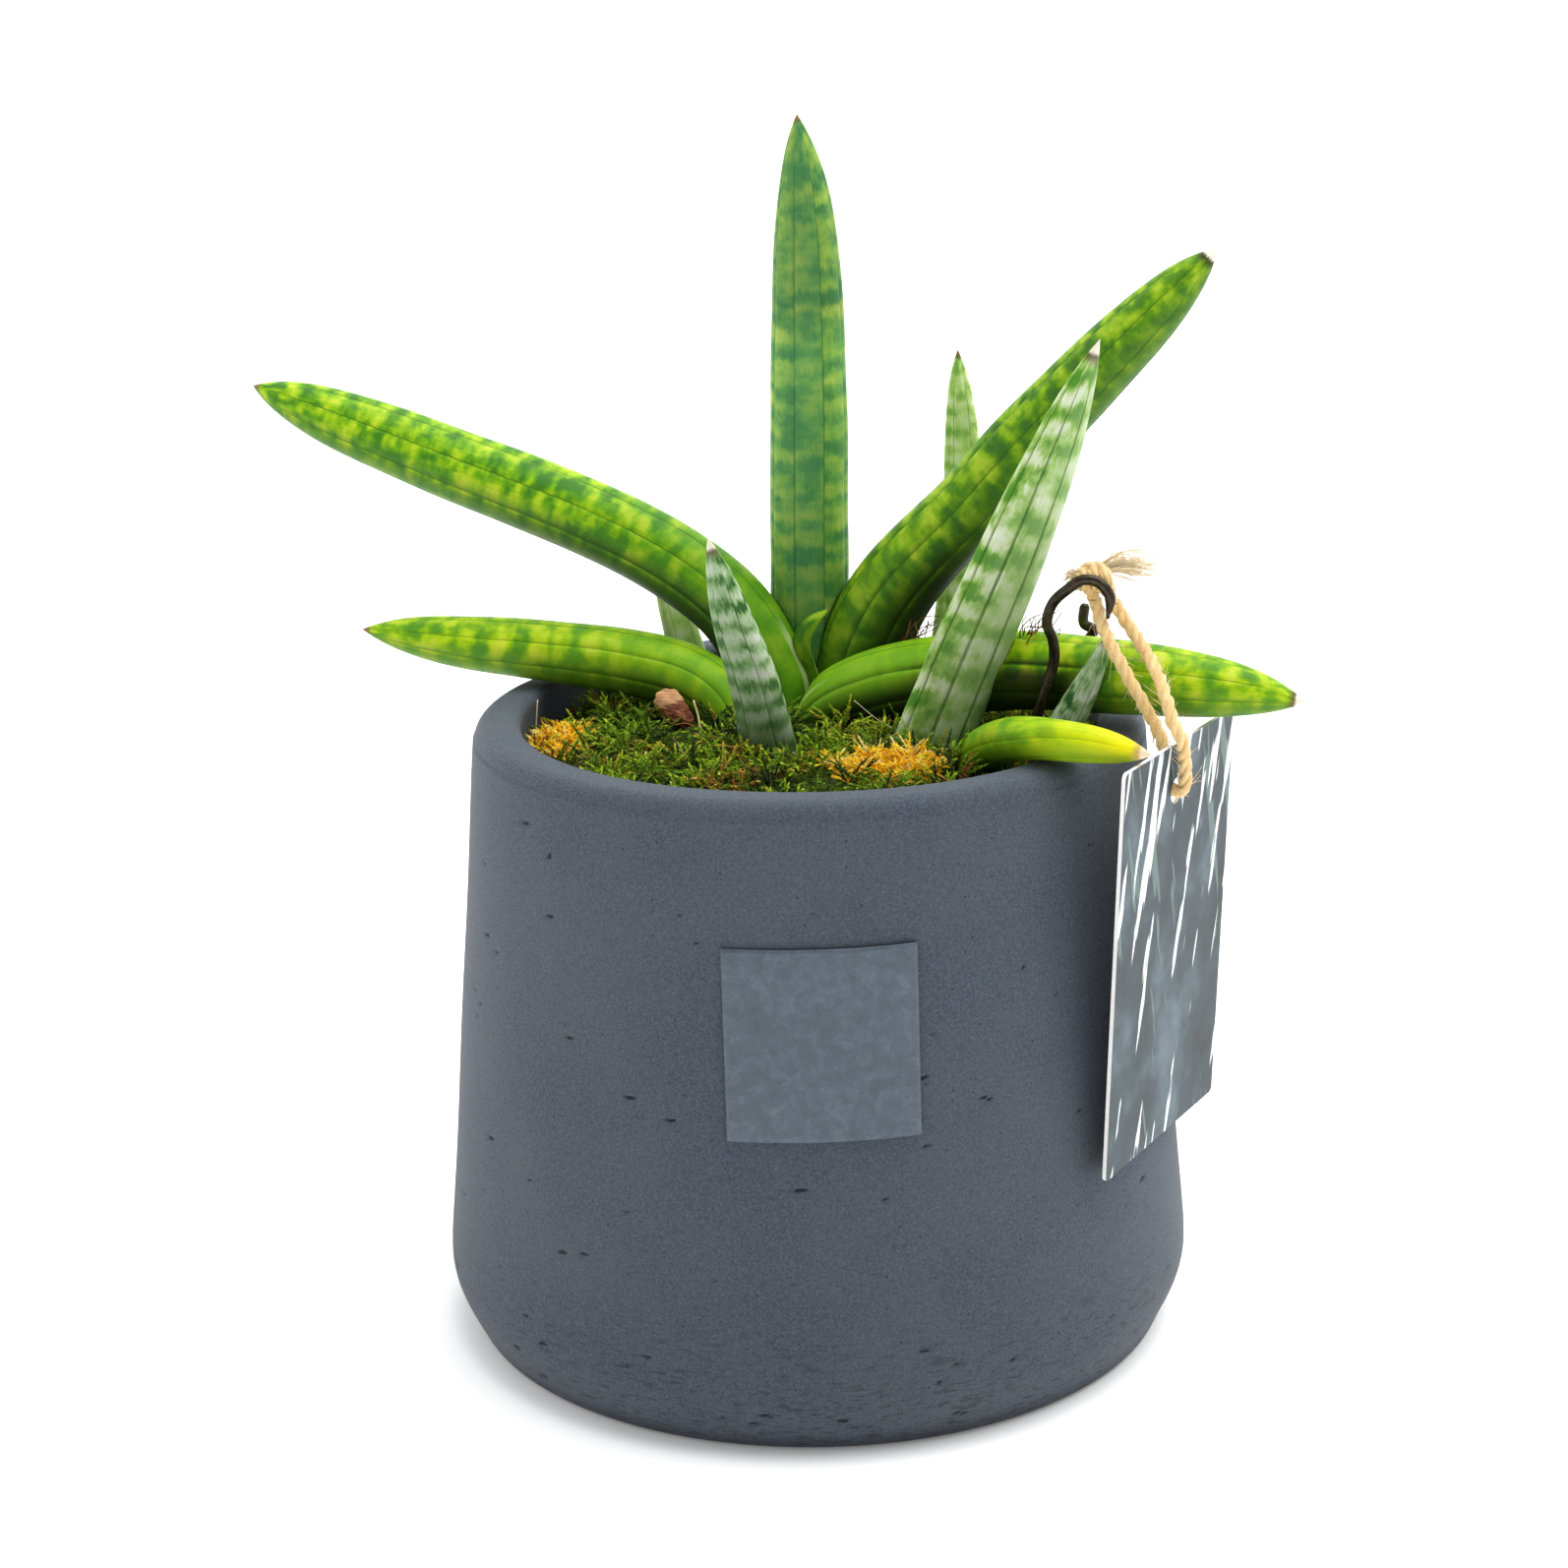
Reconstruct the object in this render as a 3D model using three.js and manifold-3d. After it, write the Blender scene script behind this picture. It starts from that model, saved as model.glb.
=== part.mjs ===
// A potted boncellensis snake plant: thick banded leaves in a mossy fibre-clay pot, with a card on twine.
// Millimetres, +Z up. The origin is the centre of the pot's underside, and -Y faces the viewer.
import * as THREE from "three";
import { mergeVertices } from "three/addons/utils/BufferGeometryUtils.js";
import Module from "manifold-3d";

const wasm = await Module();
wasm.setup();

// Driving dimensions
const potHeight = 132.5;
const potWidest = 160; // across the widest ring, low on the wall
const potWidestHeight = 16;
const potRimOuter = 139.6; // across the rim
const potWall = 9.4;
const footWidth = 145; // across the flat underside
const footRound = 3; // rounding of its edge, below the sloped foot
const rimRound = 3.4; // rounding of the rim's outer edge
const rimInnerRound = 1.8;
const floorThickness = 14;
const gap = 0.35; // clearance between pieces that touch
const leafGap = 0.5; // and round a leaf, whose cutter has a plainer section
const socketGap = 0.9; // and in the soil and the moss, where a leaf's foot stands in a plain hole
const soilTop = 119;
const mossEdge = 123.5; // height of the moss beside the wall
const mossMiddle = 127; // and round the crown
const crown = new THREE.Vector3(3, 21, 104); // where the leaves spring from the rhizome
const leafFoot = 108; // height that the leaf bases reach down to
const stickerSize = 38;
const stickerHeight = 85.6; // its middle
const stickerThickness = 0.3;
const stickerHeading = THREE.MathUtils.degToRad(1.1); // round the wall from -Y towards +X
const stickerTilt = THREE.MathUtils.degToRad(-0.6);
const tagWidth = 55;
const tagHeight = 85;
const tagThickness = 0.8;
const wireDiameter = 2.2;
const twineDiameter = 2.8;

const v = (x, y, z) => new THREE.Vector3(x, y, z);

function seeded(seed) {
  let state = seed;
  return () => {
    state = (state * 1664525 + 1013904223) % 4294967296;
    return state / 4294967296;
  };
}

function smoothstep(low, high, x) {
  const t = Math.min(1, Math.max(0, (x - low) / (high - low)));
  return t * t * (3 - 2 * t);
}

// Solids and meshes

function solidOf(geometry) {
  const bare = geometry.clone();
  bare.deleteAttribute("normal");
  bare.deleteAttribute("uv");
  const merged = mergeVertices(bare, 1e-4);
  return new wasm.Manifold(
    new wasm.Mesh({
      numProp: 3,
      vertProperties: new Float32Array(merged.attributes.position.array),
      triVerts: new Uint32Array(merged.index.array),
    }),
  );
}

function geometryOf(solid) {
  const mesh = solid.getMesh();
  const geometry = new THREE.BufferGeometry();
  geometry.setAttribute("position", new THREE.BufferAttribute(mesh.vertProperties, 3));
  geometry.setIndex(new THREE.BufferAttribute(mesh.triVerts, 1));
  geometry.computeVertexNormals();
  return geometry;
}

// The largest body that a cut leaves; the crumbs beside it are dropped.
function largest(solid) {
  const bodies = solid.decompose();
  bodies.sort((a, b) => b.volume() - a.volume());
  return bodies[0];
}

function union(solids) {
  return wasm.Manifold.union(solids);
}

// A closed skin over rings of points, from the first ring to the last, each with as many points.
function skin(rings) {
  const count = rings[0].length;
  const positions = [];
  const index = [];
  for (const p of rings.flat()) positions.push(p.x, p.y, p.z);
  for (let i = 0; i + 1 < rings.length; i++) {
    for (let j = 0; j < count; j++) {
      const a = i * count + j;
      const b = i * count + ((j + 1) % count);
      index.push(a, b, a + count, b, b + count, a + count);
    }
  }
  const ends = [
    [0, rings[0], false],
    [(rings.length - 1) * count, rings[rings.length - 1], true],
  ];
  for (const [start, ring, forward] of ends) {
    const middle = ring.reduce((sum, p) => sum.add(p), v(0, 0, 0)).divideScalar(count);
    const centre = positions.length / 3;
    positions.push(middle.x, middle.y, middle.z);
    for (let j = 0; j < count; j++) {
      const a = start + j;
      const b = start + ((j + 1) % count);
      if (forward) index.push(centre, a, b);
      else index.push(centre, b, a);
    }
  }
  const geometry = new THREE.BufferGeometry();
  geometry.setAttribute("position", new THREE.Float32BufferAttribute(positions, 3));
  geometry.setIndex(index);
  const solid = solidOf(geometry);
  return solid.volume() < 0 ? solidOf(flipped(geometry)) : solid;
}

function flipped(geometry) {
  const index = Array.from(geometry.index.array);
  for (let i = 0; i < index.length; i += 3) {
    const first = index[i];
    index[i] = index[i + 1];
    index[i + 1] = first;
  }
  return geometry.clone().setIndex(index);
}

// A round bar along a curve, whose radius follows a function of the distance along it.
function bar(points, radiusAt, sides, steps) {
  const curve = new THREE.CatmullRomCurve3(points, false, "centripetal");
  const frames = curve.computeFrenetFrames(steps, false);
  const rings = [];
  for (let i = 0; i <= steps; i++) {
    const centre = curve.getPointAt(i / steps);
    const radius = radiusAt(i / steps);
    const ring = [];
    for (let j = 0; j < sides; j++) {
      const angle = (2 * Math.PI * j) / sides;
      ring.push(
        centre
          .clone()
          .addScaledVector(frames.normals[i], radius * Math.cos(angle))
          .addScaledVector(frames.binormals[i], radius * Math.sin(angle)),
      );
    }
    rings.push(ring);
  }
  return skin(rings);
}

// Pot

function outerRadius(z) {
  const t = (z - potWidestHeight) / (potHeight - potWidestHeight);
  return THREE.MathUtils.lerp(potWidest / 2, potRimOuter / 2, t);
}

function innerRadius(z) {
  return outerRadius(z) - potWall;
}

function arc(centreR, centreZ, radius, from, to, steps) {
  const points = [];
  for (let i = 0; i <= steps; i++) {
    const angle = THREE.MathUtils.degToRad(THREE.MathUtils.lerp(from, to, i / steps));
    points.push(
      new THREE.Vector2(centreR + radius * Math.cos(angle), centreZ + radius * Math.sin(angle)),
    );
  }
  return points;
}

function turned(profile, segments) {
  return new THREE.LatheGeometry(profile, segments).rotateX(Math.PI / 2);
}

// The foot slopes in from the widest ring to the rounded edge of the underside.
function footCurve() {
  const edge = footWidth / 2;
  return [
    ...arc(edge, footRound, footRound, -90, -20, 3),
    new THREE.Vector2(potWidest / 2 - 1.1, potWidestHeight - 6),
    new THREE.Vector2(potWidest / 2 - 0.2, potWidestHeight - 2),
    new THREE.Vector2(outerRadius(potWidestHeight + 3), potWidestHeight + 3),
  ];
}

function potSolid() {
  const rimR = outerRadius(potHeight);
  const mouthR = innerRadius(potHeight);
  const profile = [
    new THREE.Vector2(0, 0),
    ...footCurve(),
    ...arc(rimR - rimRound, potHeight - rimRound, rimRound, 0, 90, 4),
    ...arc(mouthR + rimInnerRound, potHeight - rimInnerRound, rimInnerRound, 90, 180, 2),
    new THREE.Vector2(innerRadius(floorThickness + 6), floorThickness + 6),
    new THREE.Vector2(innerRadius(floorThickness) - 6, floorThickness),
    new THREE.Vector2(0, floorThickness),
  ];
  return uprightLathe(profile, 48);
}

// LatheGeometry turns about Y; this lays its axis along Z and faces it outwards.
function uprightLathe(profile, segments) {
  const solid = solidOf(turned(profile, segments));
  return solid.volume() < 0 ? solidOf(turned(profile.slice().reverse(), segments)) : solid;
}

// Leaves

// Each leaf runs from its foot to its tip through points set by hand. inner is the side that faces the
// crown or the sky, where the open channel of its base lies. width is across the middle, baseWidth across
// the clasping base, flat is thickness over width, and channel says how hollow the inner side is along the
// blade and at the base. A flareLength is given where a blade widens further up than most.
const leaves = [
  {
    name: "leaf_front_mottled",
    points: [
      v(23, -6, leafFoot),
      v(25.5, -8, 126),
      v(30.5, -9, 140),
      v(44, -12, 173),
      v(59, -14, 211),
    ],
    inner: v(-0.3, 1, 0.2),
    width: 16.8,
    baseWidth: 17.6,
    tipLength: 18,
    flat: 0.62,
    channel: 0.45,
    baseChannel: 0.75,
  },
  {
    name: "leaf_front_small",
    points: [
      v(-5.5, -14, leafFoot),
      v(-7.5, -17, 124),
      v(-10.7, -19, 142),
      v(-14.5, -20, 155),
      v(-19.5, -22, 174),
    ],
    inner: v(0.3, 1, 0.2),
    width: 12.2,
    baseWidth: 12.6,
    tipLength: 11,
    flat: 0.6,
    channel: 0.4,
    baseChannel: 0.7,
  },
  {
    name: "leaf_front_short",
    points: [
      v(33, -10, leafFoot),
      v(33.5, -14, 121),
      v(37, -31, 133),
      v(46, -44.3, 137.7),
      v(66, -53, 136.2),
    ],
    inner: v(-0.4, 0.6, 1),
    width: 12,
    baseWidth: 11.5,
    tipLength: 6.5,
    flat: 0.86,
    channel: 0.1,
    baseChannel: 0.5,
  },
  {
    name: "leaf_right_small",
    points: [
      v(46.5, -9, leafFoot),
      v(48.5, -14, 121),
      v(52.5, -20, 134),
      v(57, -21, 143.5),
      v(60.5, -22, 153),
    ],
    inner: v(0.2, 1, 0),
    width: 7.6,
    baseWidth: 7.8,
    tipLength: 9,
    flat: 0.55,
    channel: 0.4,
    baseChannel: 0.6,
  },
  {
    name: "leaf_right_lower",
    points: [
      v(-2, 18, leafFoot),
      v(0, 17.5, 119),
      v(5.5, 14.5, 128.5),
      v(14, 11, 133.5),
      v(27, 6, 137.5),
      v(44.5, -4, 141),
      v(64, -15, 142),
      v(83, -22, 141.3),
      v(100, -26, 139),
    ],
    inner: v(-0.5, 0.3, 1),
    width: 17.6,
    baseWidth: 15.5,
    tipLength: 11,
    flat: 0.96,
    channel: 0,
    baseChannel: 0.8,
  },
  {
    name: "leaf_left_lower",
    points: [
      v(-14, 10, leafFoot),
      v(-15, 11.5, 122),
      v(-18.5, 14, 130.5),
      v(-26, 18, 135),
      v(-38.8, 22, 137.8),
      v(-56.3, 26, 139.6),
      v(-76.3, 29, 141.4),
      v(-97.4, 32, 143.8),
    ],
    inner: v(0.7, 0, 1),
    width: 16.2,
    baseWidth: 15,
    tipLength: 11,
    flat: 0.9,
    channel: 0,
    baseChannel: 0.6,
  },
  {
    name: "leaf_left_upper",
    points: [
      v(-5, 24, leafFoot),
      v(-6, 23, 122),
      v(-8.5, 23.5, 135),
      v(-15, 26, 147),
      v(-27.5, 31, 157),
      v(-47, 37, 166.5),
      v(-77, 45, 177.5),
      v(-122, 56, 194),
    ],
    inner: v(1, -0.15, 0.9),
    width: 17.6,
    baseWidth: 20.5,
    tipLength: 12,
    flat: 0.94,
    channel: 0,
    baseChannel: 0.75,
  },
  {
    name: "leaf_right_upper",
    points: [
      v(9, 31, leafFoot),
      v(9.8, 30, 128),
      v(13, 27.7, 140.2),
      v(19.2, 24.6, 153),
      v(36, 19.8, 172.2),
      v(47, 17.2, 185.4),
      v(60, 14, 199.5),
      v(85, 8, 226),
    ],
    inner: v(-1, 0, 0.9),
    width: 17,
    baseWidth: 20.5,
    tipLength: 12,
    flat: 0.94,
    channel: 0,
    baseChannel: 0.6,
    flareLength: 78,
  },
  {
    name: "leaf_centre",
    points: [
      v(1, 34, leafFoot),
      v(0.5, 33.5, 129),
      v(0.8, 33, 160),
      v(1.2, 32.5, 194),
      v(1, 32, 232),
      v(-0.3, 32, 252.5),
    ],
    inner: v(0, -1, 0),
    width: 17,
    baseWidth: 16.4,
    tipLength: 11,
    flat: 0.96,
    channel: 0,
    baseChannel: 0.3,
  },
  {
    name: "leaf_back_small",
    points: [
      v(29, 35, leafFoot),
      v(31, 36, 129),
      v(33.5, 38, 149),
      v(34.5, 40, 172),
      v(33.5, 40, 201.5),
    ],
    inner: v(0, -1, 0.2),
    width: 9.6,
    baseWidth: 10,
    tipLength: 12,
    flat: 0.62,
    channel: 0.4,
    baseChannel: 0.6,
  },
  {
    name: "leaf_behind_left",
    points: [
      v(-21, 41, leafFoot),
      v(-24, 43, 122),
      v(-28, 46.5, 138),
      v(-31, 49, 150),
      v(-33, 50, 163),
    ],
    inner: v(0.4, -1, 0.2),
    width: 9.4,
    baseWidth: 10,
    tipLength: 9,
    flat: 0.6,
    channel: 0.4,
    baseChannel: 0.6,
  },
  {
    name: "sheath_scale",
    points: [
      v(1.5, 23, 121),
      v(0.2, 21.5, 132),
      v(-1.5, 19.8, 141),
      v(0.8, 19.2, 146.2),
      v(5, 19, 149.7),
    ],
    inner: v(0.6, 1, -0.6),
    width: 5.6,
    baseWidth: 6.4,
    tipLength: 5,
    flat: 0.42,
    channel: 0.3,
    baseChannel: 0.5,
  },
];

const smallLeafWidth = 13; // leaves narrower than this have fewer grooves
const smallGrooveCount = 6;
const shoulder = 0.16; // how much narrower a leaf is just behind its tip than at its middle
const shoulderLength = 68;
const flareLength = 34; // how far above its foot a blade starts to widen into its base
const flareFull = 0.35; // and the share of that height where it has its full base width
const channelLength = 26; // how far above the foot the base's channel starts
const grooveCount = 8;
const grooveDepth = 0.07; // of the half width
const grooveHalfAngle = THREE.MathUtils.degToRad(8);

function halfWidth(leaf, fromTip, length) {
  const tip = 1 - Math.exp(-fromTip / leaf.tipLength);
  const body = 1 - shoulder * (1 - Math.min(1, fromTip / shoulderLength));
  const flare = leaf.flareLength ?? flareLength;
  const base = smoothstep(length - flare, length - flare * flareFull, fromTip);
  return (tip * THREE.MathUtils.lerp(leaf.width * body, leaf.baseWidth, base)) / 2;
}

// The points round a leaf's section, as angles from its inner side and shares of its half width. Each groove
// has two lips and a bottom, and a plain section leaves the bottoms out.
function sectionAngles(leaf, plain) {
  const count = leaf.width < smallLeafWidth ? smallGrooveCount : grooveCount;
  const angles = [];
  for (let i = 0; i < count; i++) {
    const middle = (2 * Math.PI * (i + 0.5)) / count;
    const lip = plain ? grooveHalfAngle * 1.6 : grooveHalfAngle;
    angles.push([middle - lip, 1]);
    if (!plain) angles.push([middle, 1 - grooveDepth]);
    angles.push([middle + lip, 1]);
  }
  return angles;
}

function leafSolid(leaf, grow = 0) {
  const curve = new THREE.CatmullRomCurve3(leaf.points, false, "centripetal");
  const length = curve.getLength();
  const stations = [0.05, 0.9, 3, 7, 13, 21, 31]; // distances from the tip
  const bladeStart = stations[stations.length - 1];
  const bladeStep = 13.5;
  const bladeSteps = Math.max(2, Math.round((length - bladeStart) / bladeStep));
  for (let i = 1; i <= bladeSteps; i++) {
    stations.push(THREE.MathUtils.lerp(bladeStart, length, i / bladeSteps));
  }
  const angles = sectionAngles(leaf, grow > 0);
  const rings = stations.map((fromTip) => {
    const u = 1 - fromTip / length;
    const centre = curve.getPointAt(Math.max(0, u));
    const along = curve.getTangentAt(Math.max(0, u));
    const inner = leaf.inner.clone().addScaledVector(along, -leaf.inner.dot(along)).normalize();
    const side = along.clone().cross(inner);
    const half = halfWidth(leaf, fromTip, length) + grow;
    const base = smoothstep(length - channelLength, length - 6, fromTip);
    const hollow = THREE.MathUtils.lerp(leaf.channel * smoothstep(3, 20, fromTip), leaf.baseChannel, base);
    const thick = half * leaf.flat;
    return angles.map(([angle, factor]) => {
      const facing = Math.max(0, Math.cos(angle));
      const depth = thick * Math.cos(angle) * (1 - hollow * facing * facing * 1.25);
      return centre
        .clone()
        .addScaledVector(side, half * factor * Math.sin(angle))
        .addScaledVector(inner, factor * depth + (grow > 0 ? grow * 0.5 * facing : 0));
    });
  });
  if (grow > 0) {
    const foot = rings[rings.length - 1];
    rings.push(foot.map((p) => p.clone().add(v(0, 0, -4))));
    const tipPush = curve.getTangentAt(1).multiplyScalar(grow);
    rings.unshift(rings[0].map((p) => p.clone().add(tipPush)));
  }
  return skin(rings);
}

// The plain hole that a leaf's foot stands in, up to where the leaf is clear of the moss.
function socketSolid(leaf) {
  const sides = 10;
  const curve = new THREE.CatmullRomCurve3(leaf.points, false, "centripetal");
  const length = curve.getLength();
  const clearHeight = mossMiddle + 2.6;
  const step = 7;
  const rings = [];
  for (let fromFoot = 0; fromFoot < length; fromFoot += step) {
    const u = fromFoot / length;
    const centre = curve.getPointAt(u);
    const along = curve.getTangentAt(u);
    const inner = leaf.inner.clone().addScaledVector(along, -leaf.inner.dot(along)).normalize();
    const side = along.clone().cross(inner);
    const half = halfWidth(leaf, length - fromFoot, length) / Math.cos(Math.PI / sides) + socketGap;
    const thick = half * leaf.flat + socketGap * (1 - leaf.flat);
    const ring = [];
    for (let j = 0; j < sides; j++) {
      const angle = (2 * Math.PI * j) / sides;
      ring.push(
        centre
          .clone()
          .addScaledVector(side, half * Math.sin(angle))
          .addScaledVector(inner, thick * Math.cos(angle)),
      );
    }
    if (fromFoot === 0) rings.push(ring.map((p) => p.clone().add(v(0, 0, -4))));
    rings.push(ring);
    if (Math.min(...ring.map((p) => p.z)) > clearHeight) break;
  }
  return skin(rings);
}

// Rhizome and roots, one growth in the soil

function rhizomeSolid(grow = 0) {
  const lump = new THREE.SphereGeometry(1, 9, 5);
  lump.scale(17 + grow, 15 + grow, 7 + grow).translate(crown.x, crown.y, crown.z);
  return union([solidOf(lump), ...runnerSolids(grow), ...rootSolids(grow)]);
}

// Each leaf that stands away from the crown has a knob under its foot, and a runner from the crown to it.
function runnerSolids(grow) {
  const crownRadius = 13;
  const runnerRadius = 3.2;
  const knobHeight = 7;
  const pieces = [];
  for (const leaf of leaves) {
    const end = v(leaf.points[0].x, leaf.points[0].y, leafFoot - 3);
    if (end.distanceTo(crown) < crownRadius) continue;
    const radius = Math.max(3.6, leaf.baseWidth * 0.36) + grow;
    const knob = new THREE.CylinderGeometry(radius, radius * 0.8, knobHeight + 2 * grow, 6);
    knob.rotateX(Math.PI / 2).translate(end.x, end.y, end.z);
    pieces.push(solidOf(knob));
    pieces.push(bar([crown, end], () => runnerRadius + grow, 4, 1));
  }
  return pieces;
}

function rootSolids(grow) {
  const random = seeded(41);
  const rootCount = 5;
  const topRadius = 2;
  const tipRadius = 0.9;
  const pieces = [];
  for (let i = 0; i < rootCount; i++) {
    const heading = (2 * Math.PI * (i + random())) / rootCount;
    const spread = 14 + 22 * random();
    const drop = 38 + 30 * random();
    const out = v(Math.cos(heading), Math.sin(heading), 0);
    const points = [
      crown.clone().addScaledVector(out, 3),
      crown.clone().addScaledVector(out, spread * 0.5).add(v(0, 0, -drop * 0.3)),
      crown.clone().addScaledVector(out, spread).add(v(4 * random() - 2, 4 * random() - 2, -drop)),
    ];
    pieces.push(bar(points, (t) => THREE.MathUtils.lerp(topRadius, tipRadius, t) + grow, 4, 3));
  }
  return pieces;
}

// Soil and moss

function soilSolid() {
  const clear = gap + 0.1;
  const profile = [
    new THREE.Vector2(0, floorThickness + clear),
    new THREE.Vector2(innerRadius(floorThickness) - 6 - clear, floorThickness + clear),
    new THREE.Vector2(innerRadius(floorThickness + 6) - clear, floorThickness + 6),
    new THREE.Vector2(innerRadius(soilTop) - clear, soilTop),
    new THREE.Vector2(0, soilTop),
  ];
  return uprightLathe(profile, 40);
}

// Lumps and dips of the moss, from a few sums of waves that don't repeat in step.
function mossRelief(x, y) {
  const broad = Math.sin(0.21 * x + 1.3) * Math.cos(0.17 * y - 0.4);
  const middle = Math.sin(0.52 * x - 0.31 * y + 2.1) * Math.cos(0.44 * y + 0.27 * x);
  const fine = Math.sin(0.87 * x + 0.5 * y) * Math.sin(0.83 * y - 0.6 * x + 0.8);
  return 0.8 * broad + 0.8 * middle + 0.6 * fine;
}

function mossHeight(x, y) {
  const r = Math.hypot(x, y) / innerRadius(mossEdge);
  return THREE.MathUtils.lerp(mossMiddle, mossEdge, smoothstep(0.55, 1.02, r)) + mossRelief(x, y);
}

function mossSolid() {
  const ringCount = 10;
  const around = 38;
  const top = [];
  for (let i = 0; i <= ringCount; i++) {
    const r = (innerRadius(mossEdge) - gap - 0.35) * (1 - i / ringCount) + 0.4 * (i / ringCount);
    const ring = [];
    for (let j = 0; j < around; j++) {
      const angle = (2 * Math.PI * (j + (i % 2) / 2)) / around;
      const x = r * Math.cos(angle);
      const y = r * Math.sin(angle);
      ring.push(v(x, y, mossHeight(x, y)));
    }
    top.push(ring);
  }
  const under = top[0].map((p) => v(p.x, p.y, soilTop + gap));
  return skin([under, ...top]);
}

// A patch of dried moss on the mat. It reaches down into the mat, and what the mat holds is cut away later.
const dryMossPatches = [
  {
    name: "dry_moss_front",
    x: 15.5,
    y: -30,
    halfLength: 12,
    halfWide: 7,
    turn: 0.1,
    thickness: 1.6,
    seed: 11,
  },
  {
    name: "dry_moss_left",
    x: -52,
    y: 0,
    halfLength: 10,
    halfWide: 5,
    turn: 1.45,
    thickness: 1.4,
    seed: 23,
  },
];

function dryMossSolid(patch) {
  const random = seeded(patch.seed);
  const ringCount = 4;
  const around = 14;
  const rings = [];
  for (let i = 0; i < ringCount; i++) {
    const share = 1 - i / ringCount;
    const ring = [];
    for (let j = 0; j < around; j++) {
      const angle = (2 * Math.PI * j) / around;
      const wobble = 0.88 + 0.24 * random();
      const a = patch.halfLength * share * wobble * Math.cos(angle);
      const b = patch.halfWide * share * wobble * Math.sin(angle);
      const x = patch.x + a * Math.cos(patch.turn) - b * Math.sin(patch.turn);
      const y = patch.y + a * Math.sin(patch.turn) + b * Math.cos(patch.turn);
      const crest = patch.thickness * (1 - share * share) + 0.4 + 0.6 * random();
      ring.push(v(x, y, mossHeight(x, y) + crest));
    }
    rings.push(ring);
  }
  const depth = 3;
  const under = rings[0].map((p) => v(p.x, p.y, mossHeight(p.x, p.y) - depth));
  return skin([under, ...rings]);
}

// A chip of bark, a squashed ball with a few flat faces.
const barkX = -27.5;
const barkY = 4.5;
const barkLift = 2; // of its middle above the moss

function barkSolid(grow = 0) {
  const chip = new THREE.IcosahedronGeometry(1, 1);
  const random = seeded(7);
  const position = chip.attributes.position;
  const seen = new Map();
  for (let i = 0; i < position.count; i++) {
    const key = [position.getX(i), position.getY(i), position.getZ(i)].map((c) => c.toFixed(3)).join();
    if (!seen.has(key)) seen.set(key, 0.82 + 0.3 * random());
    const factor = seen.get(key);
    position.setXYZ(i, position.getX(i) * factor, position.getY(i) * factor, position.getZ(i) * factor);
  }
  chip.scale(5.6 + grow, 3.6 + grow, 4 + grow).rotateY(0.35).rotateZ(-0.5);
  chip.translate(barkX, barkY, mossHeight(barkX, barkY) + barkLift);
  return solidOf(chip);
}

// Sticker, bent round the wall with the clearance behind it

function stickerSolid() {
  return skin([stickerRing(-stickerSize / 2), stickerRing(0), stickerRing(stickerSize / 2)]);
}

function stickerRing(height) {
  const back = stickerRow(height, gap);
  const face = stickerRow(height, gap + stickerThickness);
  return [...back, ...face.reverse()];
}

function stickerRow(height, offset) {
  const columns = 10;
  const row = [];
  for (let i = 0; i <= columns; i++) {
    const across = stickerSize * (i / columns - 0.5);
    const z = stickerHeight + height - across * Math.sin(stickerTilt);
    const r = outerRadius(z) + offset;
    const angle = stickerHeading + (across + height * Math.sin(stickerTilt)) / r;
    row.push(v(r * Math.sin(angle), -r * Math.cos(angle), z));
  }
  return row;
}

// Tag: its frame has X across, Y down the card and Z towards the pot.

const tagCorner = v(60, -59, 134.1); // near upper corner
const tagHeading = THREE.MathUtils.degToRad(29.6); // of its upper edge, from +Y towards +X
const tagTilt = THREE.MathUtils.degToRad(2.2); // its foot leans in to the pot
const tagHoleAcross = 26;
const tagHoleDown = 10;
const tagHoleDiameter = 5.4;

function tagFrame() {
  const across = v(Math.sin(tagHeading), Math.cos(tagHeading), 0);
  const outward = v(Math.cos(tagHeading), -Math.sin(tagHeading), 0);
  const down = v(0, 0, -Math.cos(tagTilt)).addScaledVector(outward, -Math.sin(tagTilt));
  const face = across.clone().cross(down);
  return new THREE.Matrix4().makeBasis(across, down, face).setPosition(tagCorner);
}

function tagSolid() {
  const corner = 1.2;
  const card = new THREE.Shape();
  card.moveTo(corner, 0);
  card.lineTo(tagWidth - corner, 0);
  card.absarc(tagWidth - corner, corner, corner, -Math.PI / 2, 0, false);
  card.lineTo(tagWidth, tagHeight - corner);
  card.absarc(tagWidth - corner, tagHeight - corner, corner, 0, Math.PI / 2, false);
  card.lineTo(corner, tagHeight);
  card.absarc(corner, tagHeight - corner, corner, Math.PI / 2, Math.PI, false);
  card.lineTo(0, corner);
  card.absarc(corner, corner, corner, Math.PI, 1.5 * Math.PI, false);
  const hole = new THREE.Path();
  hole.absarc(tagHoleAcross, tagHoleDown, tagHoleDiameter / 2, 0, 2 * Math.PI, true);
  card.holes.push(hole);
  const plate = new THREE.ExtrudeGeometry(card, {
    depth: tagThickness,
    bevelEnabled: false,
    curveSegments: 4,
  });
  plate.translate(0, 0, -tagThickness / 2).applyMatrix4(tagFrame());
  const solid = solidOf(plate);
  return solid.volume() < 0 ? solidOf(flipped(plate)) : solid;
}

// Wire hook: its point, over the top, down in front of the right lower leaf, under it and up behind

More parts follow.
